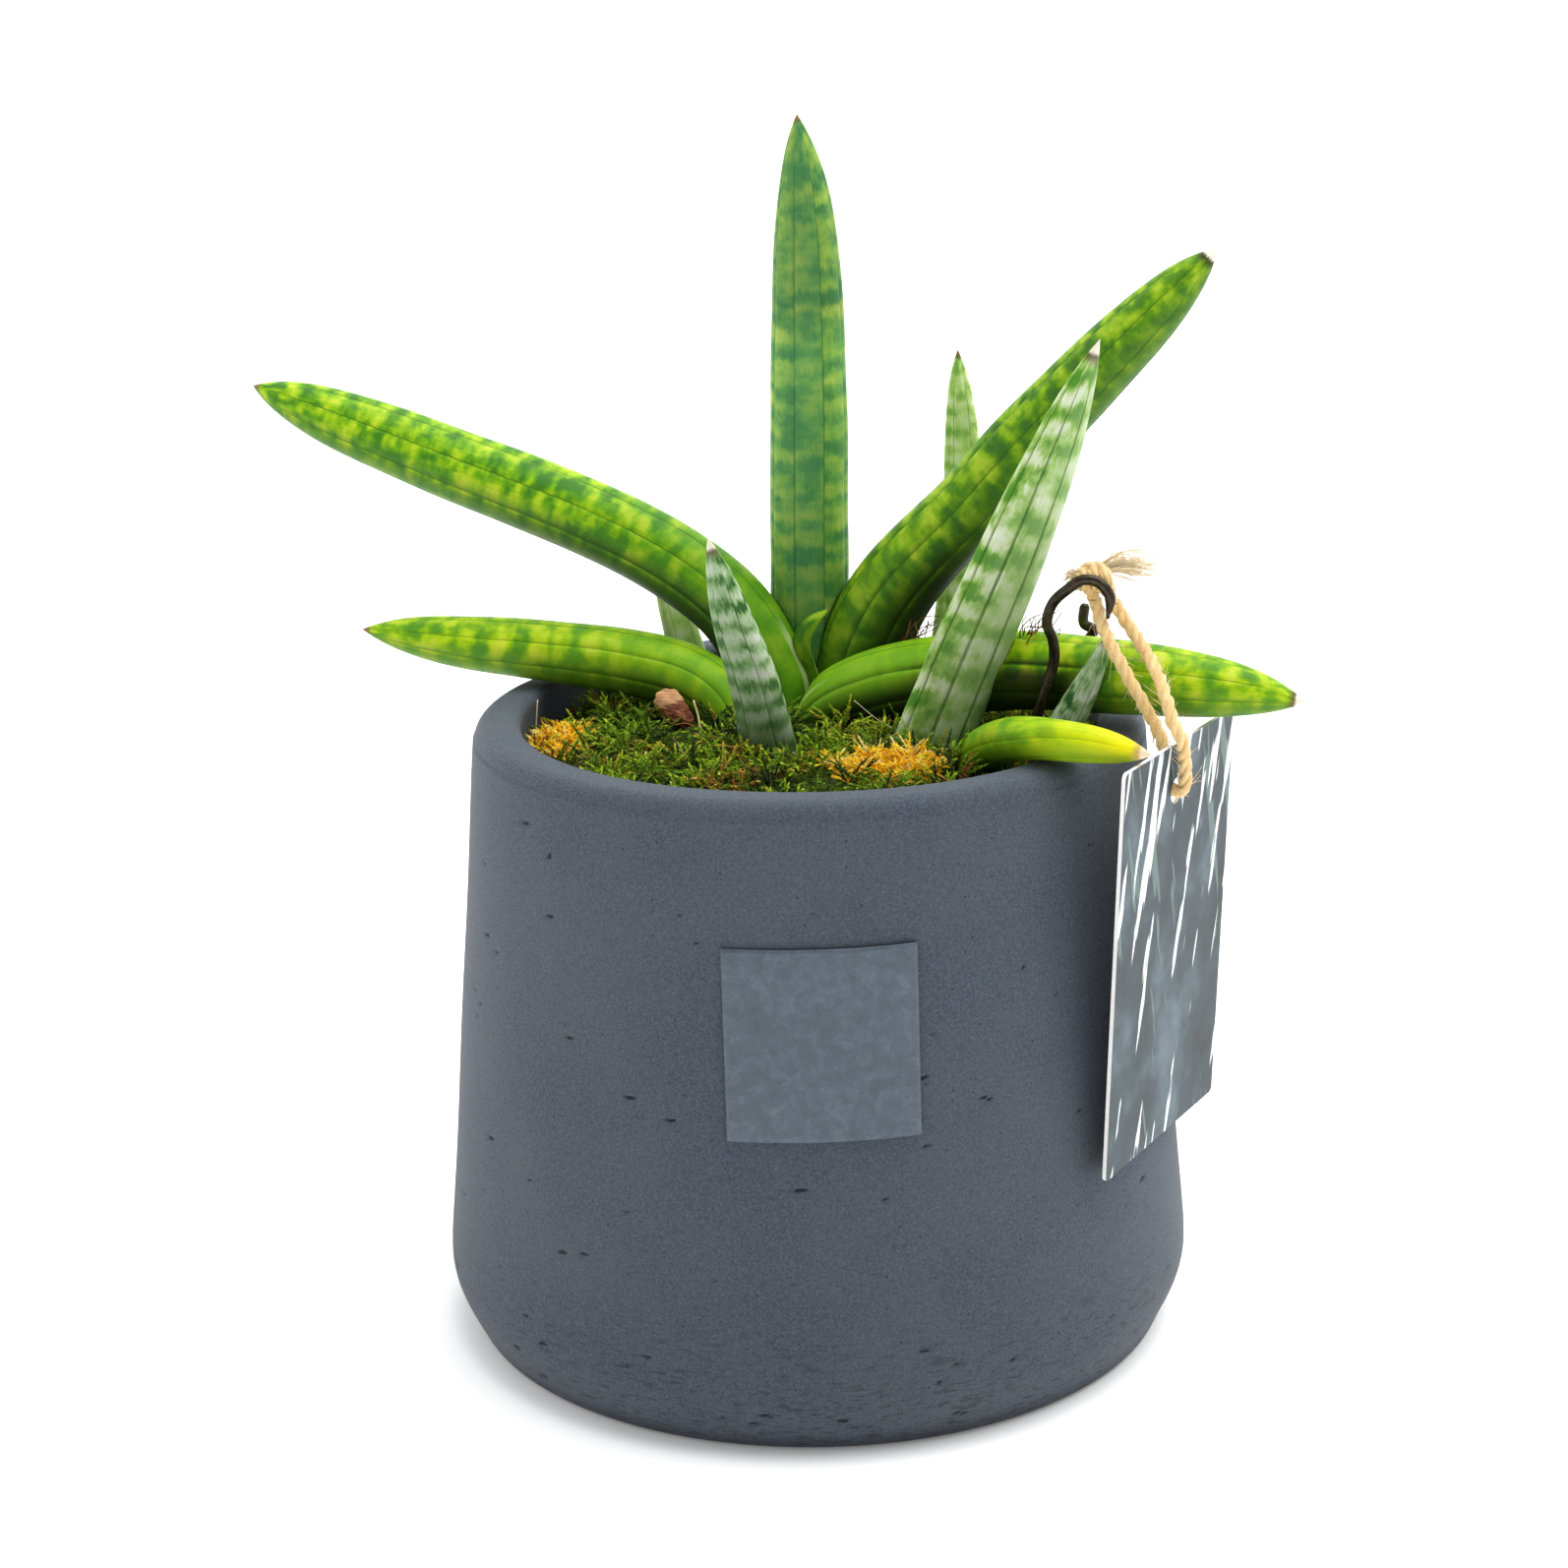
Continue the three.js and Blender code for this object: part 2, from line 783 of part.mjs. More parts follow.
const hookRoute = [
  v(59.8, -26.5, 157),
  v(60.2, -26.5, 161.5),
  v(58, -26, 164.3),
  v(55, -25.5, 164.8),
  v(52.1, -24.5, 162.8),
  v(49.2, -23, 159.6),
  v(48.1, -22, 155.4),
  v(49.4, -20.5, 151.5),
  v(49.8, -19.2, 147),
  v(48.6, -18.6, 142),
  v(46.8, -17.5, 136),
  v(46, -13, 131),
  v(46.5, -5.5, 129.3),
  v(48.5, 1.5, 131.5),
  v(52, 5.2, 137),
  v(57, 5.3, 143),
  v(59.9, 3.8, 147.4),
  v(57.8, 3, 149.2),
  v(58, 3, 153.3),
];

function hookSolid(grow = 0) {
  const radius = wireDiameter / 2;
  const pointLength = 0.04; // share of the wire that is filed to a point
  return bar(hookRoute, (t) => radius * Math.min(1, 0.35 + (0.65 * t) / pointLength) + grow, 8, 42);
}

// Twine: from the knot down behind the tag, through its hole, and up in front of it to the knot again

const twineRoute = [
  v(57.6, -23.2, 160.2),
  v(58.5, -24.9, 156.6),
  v(60.2, -27.6, 152.4),
  v(63.1, -30.2, 146.9),
  v(66.1, -32, 141.6),
  v(68.7, -33.6, 136.9),
  v(70.2, -34.7, 133.4),
  v(70.4, -34.9, 129.6),
  v(70.7, -35.2, 126.4),
  v(71.8, -35.8, 124.4),
  v(73.2, -36.6, 124),
  v(74.3, -37.2, 125),
  v(74.5, -37.6, 127.6),
  v(74.1, -38.1, 131),
  v(73.6, -39.7, 134.6),
  v(71.6, -39.4, 138.8),
  v(70.6, -36.4, 142.8),
  v(69.4, -31, 146.6),
  v(67.4, -25.6, 150.2),
  v(64.6, -22.8, 154.4),
  v(61.4, -22.6, 159.4),
];

function twineSolid() {
  const section = new THREE.Shape();
  const sides = 8;
  for (let i = 0; i < sides; i++) {
    const angle = (2 * Math.PI * i) / sides;
    const x = (twineDiameter / 2) * Math.cos(angle);
    const y = (twineDiameter / 2) * Math.sin(angle);
    if (i === 0) section.moveTo(x, y);
    else section.lineTo(x, y);
  }
  section.closePath();
  const tube = new THREE.ExtrudeGeometry(section, {
    extrudePath: new THREE.CatmullRomCurve3(twineRoute, false, "centripetal"),
    steps: 38,
    bevelEnabled: false,
  });
  return solidOf(tube);
}

// The knot sits behind and over the wire: a lump, two turns of twine and two frayed ends.
const longEndRoute = [v(58, -21.6, 164.8), v(62.5, -20, 166.4), v(66.5, -19, 165.6), v(70.8, -18.2, 165.3)];
const shortEndRoute = [v(56, -22, 164.6), v(53.4, -21.2, 165), v(51.6, -20.6, 163.6)];

function knotSolid() {
  const lump = new THREE.SphereGeometry(1, 12, 7);
  lump.scale(4.4, 2.8, 2.7).rotateY(0.2).translate(57, -22.4, 164);
  const firstTurn = new THREE.TorusGeometry(2.3, 1.2, 6, 11);
  firstTurn.rotateX(0.5).rotateY(0.35).translate(58.2, -21.8, 164.3);
  const secondTurn = new THREE.TorusGeometry(2.2, 1.15, 6, 11);
  secondTurn.rotateX(1.3).rotateY(-0.6).translate(55.2, -22.2, 164.6);
  const longEnd = bar(longEndRoute, (t) => 1.2 + 0.4 * Math.sin(Math.PI * t), 7, 7);
  const shortEnd = bar(shortEndRoute, (t) => 1.4 - 0.4 * t, 6, 3);
  return union([solidOf(lump), solidOf(firstTurn), solidOf(secondTurn), longEnd, shortEnd]);
}

// Put the pieces together: what lies in front keeps its form, and what lies behind gives way to it.

const solids = new Map();
const cutters = [hookSolid(gap)];
solids.set("hook", hookSolid());

for (const leaf of leaves) {
  const whole = leafSolid(leaf);
  solids.set(leaf.name, largest(whole.subtract(union([...cutters, rhizomeSolid(gap)]))));
  cutters.push(leafSolid(leaf, leafGap));
}

const sockets = union(leaves.map(socketSolid));
const plantCutter = union([sockets, rhizomeSolid(gap), hookSolid(gap)]);
const mat = largest(mossSolid().subtract(union([plantCutter, barkSolid(gap)])));
const patchCutter = union([mat, mat.translate([0, 0, gap]), plantCutter]);
solids.set("pot", potSolid());
solids.set("rhizome", largest(rhizomeSolid()));
solids.set("soil", largest(soilSolid().subtract(plantCutter)));
solids.set("moss_mat", mat);
solids.set("bark_chip", barkSolid());
for (const patch of dryMossPatches) {
  solids.set(patch.name, largest(dryMossSolid(patch).subtract(patchCutter)));
}
solids.set("sticker", stickerSolid());
solids.set("tag", tagSolid());
solids.set("twine", twineSolid());
solids.set("twine_knot", largest(knotSolid().subtract(hookSolid(gap))));

// Finishes: colour, roughness and metalness of each piece

const finishes = {
  pot: ["#50585f", 0.85, 0],
  sticker: ["#7e888f", 0.35, 0],
  soil: ["#2e2318", 1, 0],
  rhizome: ["#c9a06a", 0.7, 0],
  moss_mat: ["#5d7320", 1, 0],
  dry_moss_front: ["#b5802a", 1, 0],
  dry_moss_left: ["#b88a3c", 1, 0],
  bark_chip: ["#7b5238", 0.95, 0],
  hook: ["#2b211d", 0.4, 0.8],
  tag: ["#56646c", 0.5, 0],
  twine: ["#e2bd86", 0.95, 0],
  twine_knot: ["#edca94", 0.95, 0],
  leaf_front_mottled: ["#8fae7c", 0.5, 0],
  leaf_front_small: ["#86a87a", 0.5, 0],
  leaf_right_small: ["#6f9560", 0.5, 0],
  leaf_front_short: ["#a6b81a", 0.45, 0],
  leaf_back_small: ["#8ab070", 0.5, 0],
  leaf_behind_left: ["#7da04e", 0.5, 0],
  sheath_scale: ["#a9c46a", 0.55, 0],
};
const leafFinish = ["#4f9422", 0.42, 0];

const plant = new THREE.Group();
for (const [name, solid] of solids) {
  const [color, roughness, metalness] = finishes[name] ?? leafFinish;
  const material = new THREE.MeshStandardMaterial({ color, roughness, metalness });
  const mesh = new THREE.Mesh(geometryOf(solid), material);
  mesh.name = name;
  plant.add(mesh);
}

export default plant;
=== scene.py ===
"""Builds the finished looks of a potted boncellensis snake plant round its CAD frame.

Lengths are in millimetres until a mesh is made, and then in metres, in the CAD's own frame:
+Z is up, the origin is the middle of the pot's underside, and -Y faces the camera.
"""

import math
from functools import cache

import bmesh
import bpy
import numpy as np
from bpy.props import FloatProperty, FloatVectorProperty, IntProperty, PointerProperty
from mathutils import Matrix, Vector
from mathutils.geometry import tessellate_polygon


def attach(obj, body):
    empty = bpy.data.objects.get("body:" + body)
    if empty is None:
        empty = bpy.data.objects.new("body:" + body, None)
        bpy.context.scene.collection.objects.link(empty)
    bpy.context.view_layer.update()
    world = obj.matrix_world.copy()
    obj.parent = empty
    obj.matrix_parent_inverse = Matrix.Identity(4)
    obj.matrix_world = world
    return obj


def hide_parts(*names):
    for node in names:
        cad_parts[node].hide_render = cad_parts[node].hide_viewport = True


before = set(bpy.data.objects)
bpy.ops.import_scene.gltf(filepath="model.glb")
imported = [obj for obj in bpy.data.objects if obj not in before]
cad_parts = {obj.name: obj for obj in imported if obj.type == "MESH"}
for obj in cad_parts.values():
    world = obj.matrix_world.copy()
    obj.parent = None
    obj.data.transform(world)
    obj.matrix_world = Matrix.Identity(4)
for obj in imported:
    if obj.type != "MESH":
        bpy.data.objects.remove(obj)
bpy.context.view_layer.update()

bl_info = {
    "name": "Potted Boncellensis Snake Plant",
    "version": (1, 0, 0),
    "blender": (4, 5, 0),
    "location": "3D View > Sidebar > Snake Plant",
    "description": "Builds a banded snake plant in a mossy fibre-clay pot, with a card on twine",
    "category": "Object",
}

MM = 0.001
CIRCLE = 2 * math.pi

# Sizes shared with the CAD, in millimetres
POT_HEIGHT = 132.5
POT_WIDEST = 160
POT_WIDEST_HEIGHT = 16
POT_RIM_OUTER = 139.6
POT_WALL = 9.4
FOOT_WIDTH = 145
FOOT_ROUND = 3
RIM_ROUND = 3.4
RIM_INNER_ROUND = 1.8
FLOOR_THICKNESS = 14
SOIL_TOP = 119
MOSS_EDGE = 123.5
MOSS_MIDDLE = 127
STICKER_SIZE = 38
STICKER_HEIGHT = 85.6
STICKER_GAP = 0.35
STICKER_THICKNESS = 0.3
STICKER_HEADING = math.radians(1.1)
STICKER_TILT = math.radians(-0.6)
TAG_WIDTH = 55
TAG_HEIGHT = 85
TAG_THICKNESS = 0.8
TAG_CORNER = np.array([60, -59, 134.1])
TAG_HEADING = math.radians(29.6)
TAG_TILT = math.radians(2.2)
TAG_CORNER_ROUND = 1.2
TAG_HOLE = (26, 10, 2.7)  # across, down and radius
WIRE_DIAMETER = 2.2
TWINE_DIAMETER = 2.8


# Numbers, colours and curves


def linear(colour):
    """A linear colour, from one or from a web colour such as #8fae7c."""
    if not isinstance(colour, str):
        return colour
    parts = [int(colour[i : i + 2], 16) / 255 for i in (1, 3, 5)]
    return [c / 12.92 if c <= 0.04045 else ((c + 0.055) / 1.055) ** 2.4 for c in parts]


def scaled(colour, share):
    return [c * share for c in colour]


def lerp(a, b, t):
    return a + (b - a) * t


def smoothstep(low, high, x):
    t = np.clip((np.asarray(x, float) - low) / (high - low), 0, 1)
    return t * t * (3 - 2 * t)


def unit(vectors):
    return vectors / np.maximum(np.linalg.norm(vectors, axis=-1, keepdims=True), 1e-12)


def arc(middle, radius, start, end, steps):
    """Points on an arc between two angles in degrees."""
    angles = np.radians(np.linspace(start, end, steps + 1))
    return np.column_stack([middle[0] + radius * np.cos(angles), middle[1] + radius * np.sin(angles)])


class Route:
    """A smooth curve through points, measured along its length."""

    points_per_span = 40
    reach = 0.3  # to each side of a point whose direction is asked for

    def __init__(self, points):
        p = np.array(points, float)
        p = np.vstack([2 * p[0] - p[1], p, 2 * p[-1] - p[-2]])
        t = np.linspace(0, 1, self.points_per_span, endpoint=False)[:, None]
        spans = []
        for p0, p1, p2, p3 in zip(p, p[1:], p[2:], p[3:]):
            d0, d1, d2 = (math.sqrt(np.linalg.norm(b - a)) for a, b in ((p0, p1), (p1, p2), (p2, p3)))
            m1 = ((p1 - p0) / d0 - (p2 - p0) / (d0 + d1) + (p2 - p1) / d1) * d1
            m2 = ((p2 - p1) / d1 - (p3 - p1) / (d1 + d2) + (p3 - p2) / d2) * d1
            square = 3 * (p2 - p1) - 2 * m1 - m2
            cube = 2 * (p1 - p2) + m1 + m2
            spans.append(p1 + m1 * t + square * t**2 + cube * t**3)
        self.points = np.vstack(spans + [p[-2:-1]])
        steps = np.linalg.norm(np.diff(self.points, axis=0), axis=1)
        self.distances = np.concatenate([[0], np.cumsum(steps)])
        self.length = float(self.distances[-1])

    def at(self, distance):
        distance = np.clip(distance, 0, self.length)
        return np.stack([np.interp(distance, self.distances, self.points[:, k]) for k in range(3)], axis=-1)

    def even(self, count):
        """This many evenly spaced points from end to end."""
        return self.at(np.linspace(0, self.length, count))

    def direction(self, distance):
        distance = np.asarray(distance)
        return unit(self.at(distance + self.reach) - self.at(distance - self.reach))


# Meshes


def ring_faces(ring_count, around):
    """Four-sided faces between rings of points, which face outwards when the rings turn about their route."""
    i, j = np.meshgrid(np.arange(ring_count - 1), np.arange(around), indexing="ij")
    a = i * around + j
    b = i * around + (j + 1) % around
    return np.stack([a, b, b + around, a + around], axis=-1).reshape(-1, 4)


def closed_rings(ring_count, around):
    """The faces of ring_faces with an end face at each end."""
    faces = ring_faces(ring_count, around).tolist()
    last = (ring_count - 1) * around
    faces.append(list(range(around - 1, -1, -1)))
    faces.append(list(range(last, last + around)))
    return faces


def tube(centres, radii, sides):
    """Points and faces of a closed round bar along centres."""
    centres = np.asarray(centres, float)
    radii = np.broadcast_to(radii, len(centres))
    along = unit(np.gradient(centres, axis=0))
    normals = np.empty_like(centres)
    steep = abs(along[0, 2]) >= 0.8
    normal = np.cross(along[0], np.array([1.0, 0, 0]) if steep else np.array([0, 0, 1.0]))
    for i, direction in enumerate(along):
        normal = normal - direction * normal.dot(direction)
        normal = normal / np.linalg.norm(normal)
        normals[i] = normal
    binormals = np.cross(along, normals)
    angles = np.arange(sides) * CIRCLE / sides
    points = (
        centres[:, None]
        + radii[:, None, None] * np.cos(angles)[None, :, None] * normals[:, None]
        + radii[:, None, None] * np.sin(angles)[None, :, None] * binormals[:, None]
    )
    return points.reshape(-1, 3), closed_rings(len(centres), sides)


class Parts:
    """Collects closed bars that become one mesh. The tone of each tells its material how pale it is."""

    def __init__(self):
        self.points = []
        self.faces = []
        self.tones = []
        self.count = 0

    def add_tube(self, centres, radii, sides, tone=0.0):
        points, faces = tube(centres, radii, sides)
        self.points.append(points)
        self.faces.extend([[k + self.count for k in face] for face in faces])
        self.tones.append(np.broadcast_to(tone, len(points)))
        self.count += len(points)

    def add_fibre(self, centres, thick, thin, sides, tone):
        """A bar that gets thinner from its first radius to its last."""
        self.add_tube(centres, np.linspace(thick, thin, len(centres)), sides, tone)

    def make(self, name, material, node=None):
        values = {"tone": np.concatenate(self.tones)}
        return make_piece(name, np.vstack(self.points), self.faces, [material], node, values=values)


def make_mesh(name, points, faces, uvs=None, values=None, smooth=True):
    faces = faces if isinstance(faces, list) else faces.tolist()
    mesh = bpy.data.meshes.new(name)
    mesh.from_pydata((np.asarray(points) * MM).tolist(), [], faces)
    if uvs is not None:
        layer = mesh.uv_layers.new(name="UVMap")
        layer.data.foreach_set("uv", np.asarray(uvs, np.float32).ravel())
    for key, value in (values or {}).items():
        attribute = mesh.attributes.new(key, "FLOAT", "POINT")
        attribute.data.foreach_set("value", np.asarray(value, np.float32))
    mesh.polygons.foreach_set("use_smooth", [smooth] * len(mesh.polygons))
    mesh.update()
    return mesh


def make_piece(name, points, faces, materials, node, uvs=None, values=None, smooth=True):
    """A piece of the plant that takes a CAD node's place, or adds to it where node is None."""
    mesh = make_mesh(name, points, faces, uvs, values, smooth)
    for material in materials:
        mesh.materials.append(material)
    piece = bpy.data.objects.new(name, mesh)
    bpy.context.scene.collection.objects.link(piece)
    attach(piece, "root")
    if node:
        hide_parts(node)
    return piece


def dome_grid(around, rings, innermost):
    """Angles and shares of the radius for a low dome's rings, the outermost twice for an upright edge."""
    shares = np.concatenate([[1.0], np.linspace(1, innermost, rings)])
    return np.meshgrid(np.linspace(0, CIRCLE, around, endpoint=False), shares)


def largest_body(mesh):
    """Deletes every loose body of a mesh but its largest."""
    shape = bmesh.new()
    shape.from_mesh(mesh)
    seen = set()
    bodies = []
    for seed in shape.verts:
        if seed in seen:
            continue
        body = [seed]
        seen.add(seed)
        for vertex in body:
            for edge in vertex.link_edges:
                other = edge.other_vert(vertex)
                if other not in seen:
                    seen.add(other)
                    body.append(other)
        bodies.append(body)
    bodies.sort(key=len)
    for body in bodies[:-1]:
        bmesh.ops.delete(shape, geom=body, context="VERTS")
    shape.to_mesh(mesh)
    shape.free()


def cut_away(piece, cutters):
    """Takes the cutters' meshes out of a piece."""
    for number, cutter in enumerate(cutters):
        other = bpy.data.objects.new(f"cutter_{number}", cutter)
        bpy.context.scene.collection.objects.link(other)
        modifier = piece.modifiers.new("cut", "BOOLEAN")
        modifier.operation = "DIFFERENCE"
        modifier.solver = "MANIFOLD"
        modifier.object = other
        graph = bpy.context.evaluated_depsgraph_get()
        result = bpy.data.meshes.new_from_object(piece.evaluated_get(graph))
        piece.modifiers.clear()
        bpy.data.objects.remove(other)
        if len(result.polygons):
            piece.data = result
    largest_body(piece.data)


# Materials


class Nodes:
    """A tree of shader nodes, which are added one by one. Colours are linear ones or web colours."""

    def __init__(self, tree):
        self.tree = tree

    def add(self, kind, inputs=None, **settings):
        node = self.tree.nodes.new("ShaderNode" + kind)
        for key, value in settings.items():
            setattr(node, key, value)
        for key, value in (inputs or {}).items():
            self.set(node.inputs[key], value)
        return node

    def set(self, socket, value):
        if isinstance(value, bpy.types.NodeSocket):
            self.tree.links.new(value, socket)
        elif socket.type == "RGBA":
            socket.default_value = (*linear(value), 1)
        else:
            socket.default_value = value

    def math(self, operation, a, b=0.0):
        return self.add("Math", {0: a, 1: b}, operation=operation).outputs[0]

    def plus(self, a, b):
        return self.math("ADD", a, b)

    def minus(self, a, b):
        return self.math("SUBTRACT", a, b)

    def times(self, a, b):
        return self.math("MULTIPLY", a, b)

    def about_zero(self, value, width):
        """A value from 0 to 1 moved to lie about 0 and made this wide."""
        return self.times(self.minus(value, 0.5), width)

    def step(self, value, low, high, to_low=0.0, to_high=1.0, kind="SMOOTHSTEP"):
        inputs = {"Value": value, "From Min": low, "From Max": high, "To Min": to_low, "To Max": to_high}
        return self.add("MapRange", inputs, interpolation_type=kind).outputs[0]

    def vector(self, x, y, z):
        return self.add("CombineXYZ", {0: x, 1: y, 2: z}).outputs[0]

    def axis(self, vector, number):
        return self.add("SeparateXYZ", {0: vector}).outputs[number]

    def stretch(self, vector, shares):
        return self.add("VectorMath", {0: vector, 1: shares}, operation="MULTIPLY").outputs[0]

    def place(self):
        """The point on the object in millimetres."""
        return self.stretch(self.add("TexCoord").outputs["Object"], (1 / MM, 1 / MM, 1 / MM))

    def noise(self, where, scale=1.0, detail=2.0, rough=0.5, twist=0.0):
        inputs = {"Vector": where, "Scale": scale, "Detail": detail, "Roughness": rough, "Distortion": twist}
        return self.add("TexNoise", inputs).outputs["Fac"]

    def cells(self, where, scale):
        return self.add("TexVoronoi", {"Vector": where, "Scale": scale})

    def attribute(self, name):
        return self.add("Attribute", attribute_name=name).outputs["Fac"]

    def blend(self, share, a, b, how="MIX"):
        node = self.add("Mix", data_type="RGBA", blend_type=how)
        for socket, value in ((0, share), (6, a), (7, b)):
            self.set(node.inputs[socket], value)
        return node.outputs[2]

    def ramp(self, value, stops):
        node = self.add("ValToRGB", {0: value})
        elements = node.color_ramp.elements
        while len(elements) < len(stops):
            elements.new(0.5)
        for element, (position, tint) in zip(elements, stops):
            element.position = position
            element.color = (*linear(tint), 1)
        return node.outputs[0]


class Shade(Nodes):
    """A material with one shader."""

    def __init__(self, name, roughness, specular, metallic=0.0, sheen=0.0):
        self.material = bpy.data.materials.new(name)
        self.material.use_nodes = True
        super().__init__(self.material.node_tree)
        self.shader = self.tree.nodes["Principled BSDF"]
        self.shader.inputs["Roughness"].default_value = roughness
        self.shader.inputs["Specular IOR Level"].default_value = specular
        self.shader.inputs["Metallic"].default_value = metallic
        self.shader.inputs["Sheen Weight"].default_value = sheen

    def bump(self, height, distance, strength):
        inputs = {"Height": height, "Distance": distance * MM, "Strength": strength}
        self.set(self.shader.inputs["Normal"], self.add("Bump", inputs).outputs[0])

    def finish(self, tint, roughness=None):
        self.set(self.shader.inputs["Base Color"], tint)
        if roughness is not None:
            self.set(self.shader.inputs["Roughness"], roughness)
        return self.material


def grain_material(name, stops, roughness, specular, grain, relief):
    """A material whose colour and relief follow one noise.

    grain is the noise's scale, detail and roughness, and relief its depth and strength.
    """
    shade = Shade(name, roughness, specular)
    height = shade.noise(shade.place(), *grain)
    shade.bump(height, *relief)
    return shade.finish(shade.ramp(height, stops))


# Settings


class SnakePlantStage(bpy.types.PropertyGroup):
    camera_distance: FloatProperty(
        name="Camera distance",
        description="Level distance from the pot's middle to the camera",
        default=0.6275,
        unit="LENGTH",
    )
    camera_height: FloatProperty(
        name="Camera height",
        description="Height of the camera above the floor",
        default=0.2998,
        unit="LENGTH",
    )
    camera_pitch: FloatProperty(
        name="Camera pitch",
        description="How far the camera looks down",
        default=math.radians(16.31),
        subtype="ANGLE",
    )
    camera_yaw: FloatProperty(
        name="Camera yaw",
        description="How far the camera turns to the right",
        default=math.radians(-0.5),
        subtype="ANGLE",
    )
    camera_roll: FloatProperty(
        name="Camera roll",
        description="How far the camera leans",
        default=math.radians(-1.14),
        subtype="ANGLE",
    )
    lens: FloatProperty(
        name="Lens", description="Focal length on a 36 mm wide frame, in millimetres", default=71.1
    )
    sky_light: FloatProperty(
        name="Sky light", description="Strength of the soft light all round", default=1.0
    )
    top_light: FloatProperty(name="Top light", description="Strength of the broad lamp overhead", default=2.5)
    floor_glow: FloatProperty(
        name="Floor glow", description="How much the lit floor shines by itself", default=0.12
    )


class SnakePlantPot(bpy.types.PropertyGroup):
    clay: FloatVectorProperty(
        name="Clay",
        description="Colour of the cast clay",
        default=linear("#424a55"),
        subtype="COLOR",
        min=0,
        max=1,
    )
    pits: IntProperty(name="Pits", description="Number of casting pits in the wall", default=170, min=0)
    around: IntProperty(
        name="Points round the pot", description="Points in each ring of the pot", default=400, min=48
    )
    uneven: FloatProperty(
        name="Unevenness", description="How far the wall strays from round", default=0.00018, unit="LENGTH"
    )


class SnakePlantLeaves(bpy.types.PropertyGroup):
    ring_step: FloatProperty(
        name="Ring step",
        description="Distance between a leaf's rings",
        default=0.0018,
        min=0.0005,
        unit="LENGTH",
    )
    groove_depth: FloatProperty(
        name="Groove depth",
        description="Depth of a leaf's grooves, as a share of its half width",
        default=0.022,
    )


class SnakePlantMoss(bpy.types.PropertyGroup):
    tufts: IntProperty(name="Tufts", description="Number of moss tufts", default=400, min=8)
    shoots: IntProperty(name="Shoots", description="Number of shoots in each tuft", default=11, min=1)
    shoot_length: FloatProperty(
        name="Shoot length", description="Usual length of a moss shoot", default=0.0056, unit="LENGTH"
    )


class SnakePlantTwine(bpy.types.PropertyGroup):
    strand_turn: FloatProperty(
        name="Turn of the strands",
        description="Length in which a strand turns once",
        default=0.0085,
        unit="LENGTH",
    )
    hairs: IntProperty(name="Hairs", description="Number of loose fibres along the twine", default=210, min=0)


# Stage

LAMP_DIRECTION = (-0.3, -0.15, -1)
LAMP_SPREAD = math.radians(55)
DIM_SKY = 0.32  # behind the camera, as a share of the sky's strength
BRIGHT_SKY = 1.45  # before the camera
FLOOR_HALF = 15000


def camera_frame(stage):
    """The camera's place in metres, and its right, up and backward directions."""
    yaw, pitch, roll = stage.camera_yaw, stage.camera_pitch, stage.camera_roll
    forward = Vector((math.sin(yaw) * math.cos(pitch), math.cos(yaw) * math.cos(pitch), -math.sin(pitch)))
    level = Vector((math.cos(yaw), -math.sin(yaw), 0))
    upright = level.cross(forward)
    right = level * math.cos(roll) + upright * math.sin(roll)
    up = upright * math.cos(roll) - level * math.sin(roll)
    return Vector((0, -stage.camera_distance, stage.camera_height)), right, up, -forward


def top_lamp(strength):
    """A broad lamp overhead, a little to the right and behind."""
    light = bpy.data.lights.new("top_lamp", "SUN")
    light.angle = LAMP_SPREAD
    light.energy = strength
    lamp = bpy.data.objects.new("top_lamp", light)
    lamp.rotation_euler = Vector(LAMP_DIRECTION).to_track_quat("-Z", "Y").to_euler()
    bpy.context.scene.collection.objects.link(lamp)


def sky(strength):
    """A white sky that is darker behind the camera, but not at the horizon."""
    world = bpy.data.worlds.new("studio")
    bpy.context.scene.world = world
    world.use_nodes = True
    nodes = Nodes(world.node_tree)
    direction = nodes.add("TexCoord").outputs["Generated"]
    before = nodes.axis(direction, 1)
    height = nodes.axis(direction, 2)
    shade = nodes.step(before, -0.6, 0.05, DIM_SKY * strength, BRIGHT_SKY * strength)
    horizon = nodes.step(height, 0.02, 0.08, strength, 0, "LINEAR")
    background = world.node_tree.nodes["Background"]
    nodes.set(background.inputs["Strength"], nodes.math("MAXIMUM", shade, horizon))
    nodes.set(background.inputs["Color"], "#ffffff")


def floor_material(glow):
    shade = Shade("floor_white", roughness=0.9, specular=0.1)
    shade.set(shade.shader.inputs["Emission Color"], "#ffffff")
    shade.set(shade.shader.inputs["Emission Strength"], glow)
    cloud = shade.noise(shade.place(), 0.02, detail=1)
    return shade.finish(shade.ramp(cloud, [(0.3, "#fdfdfd"), (0.7, "#ffffff")]))


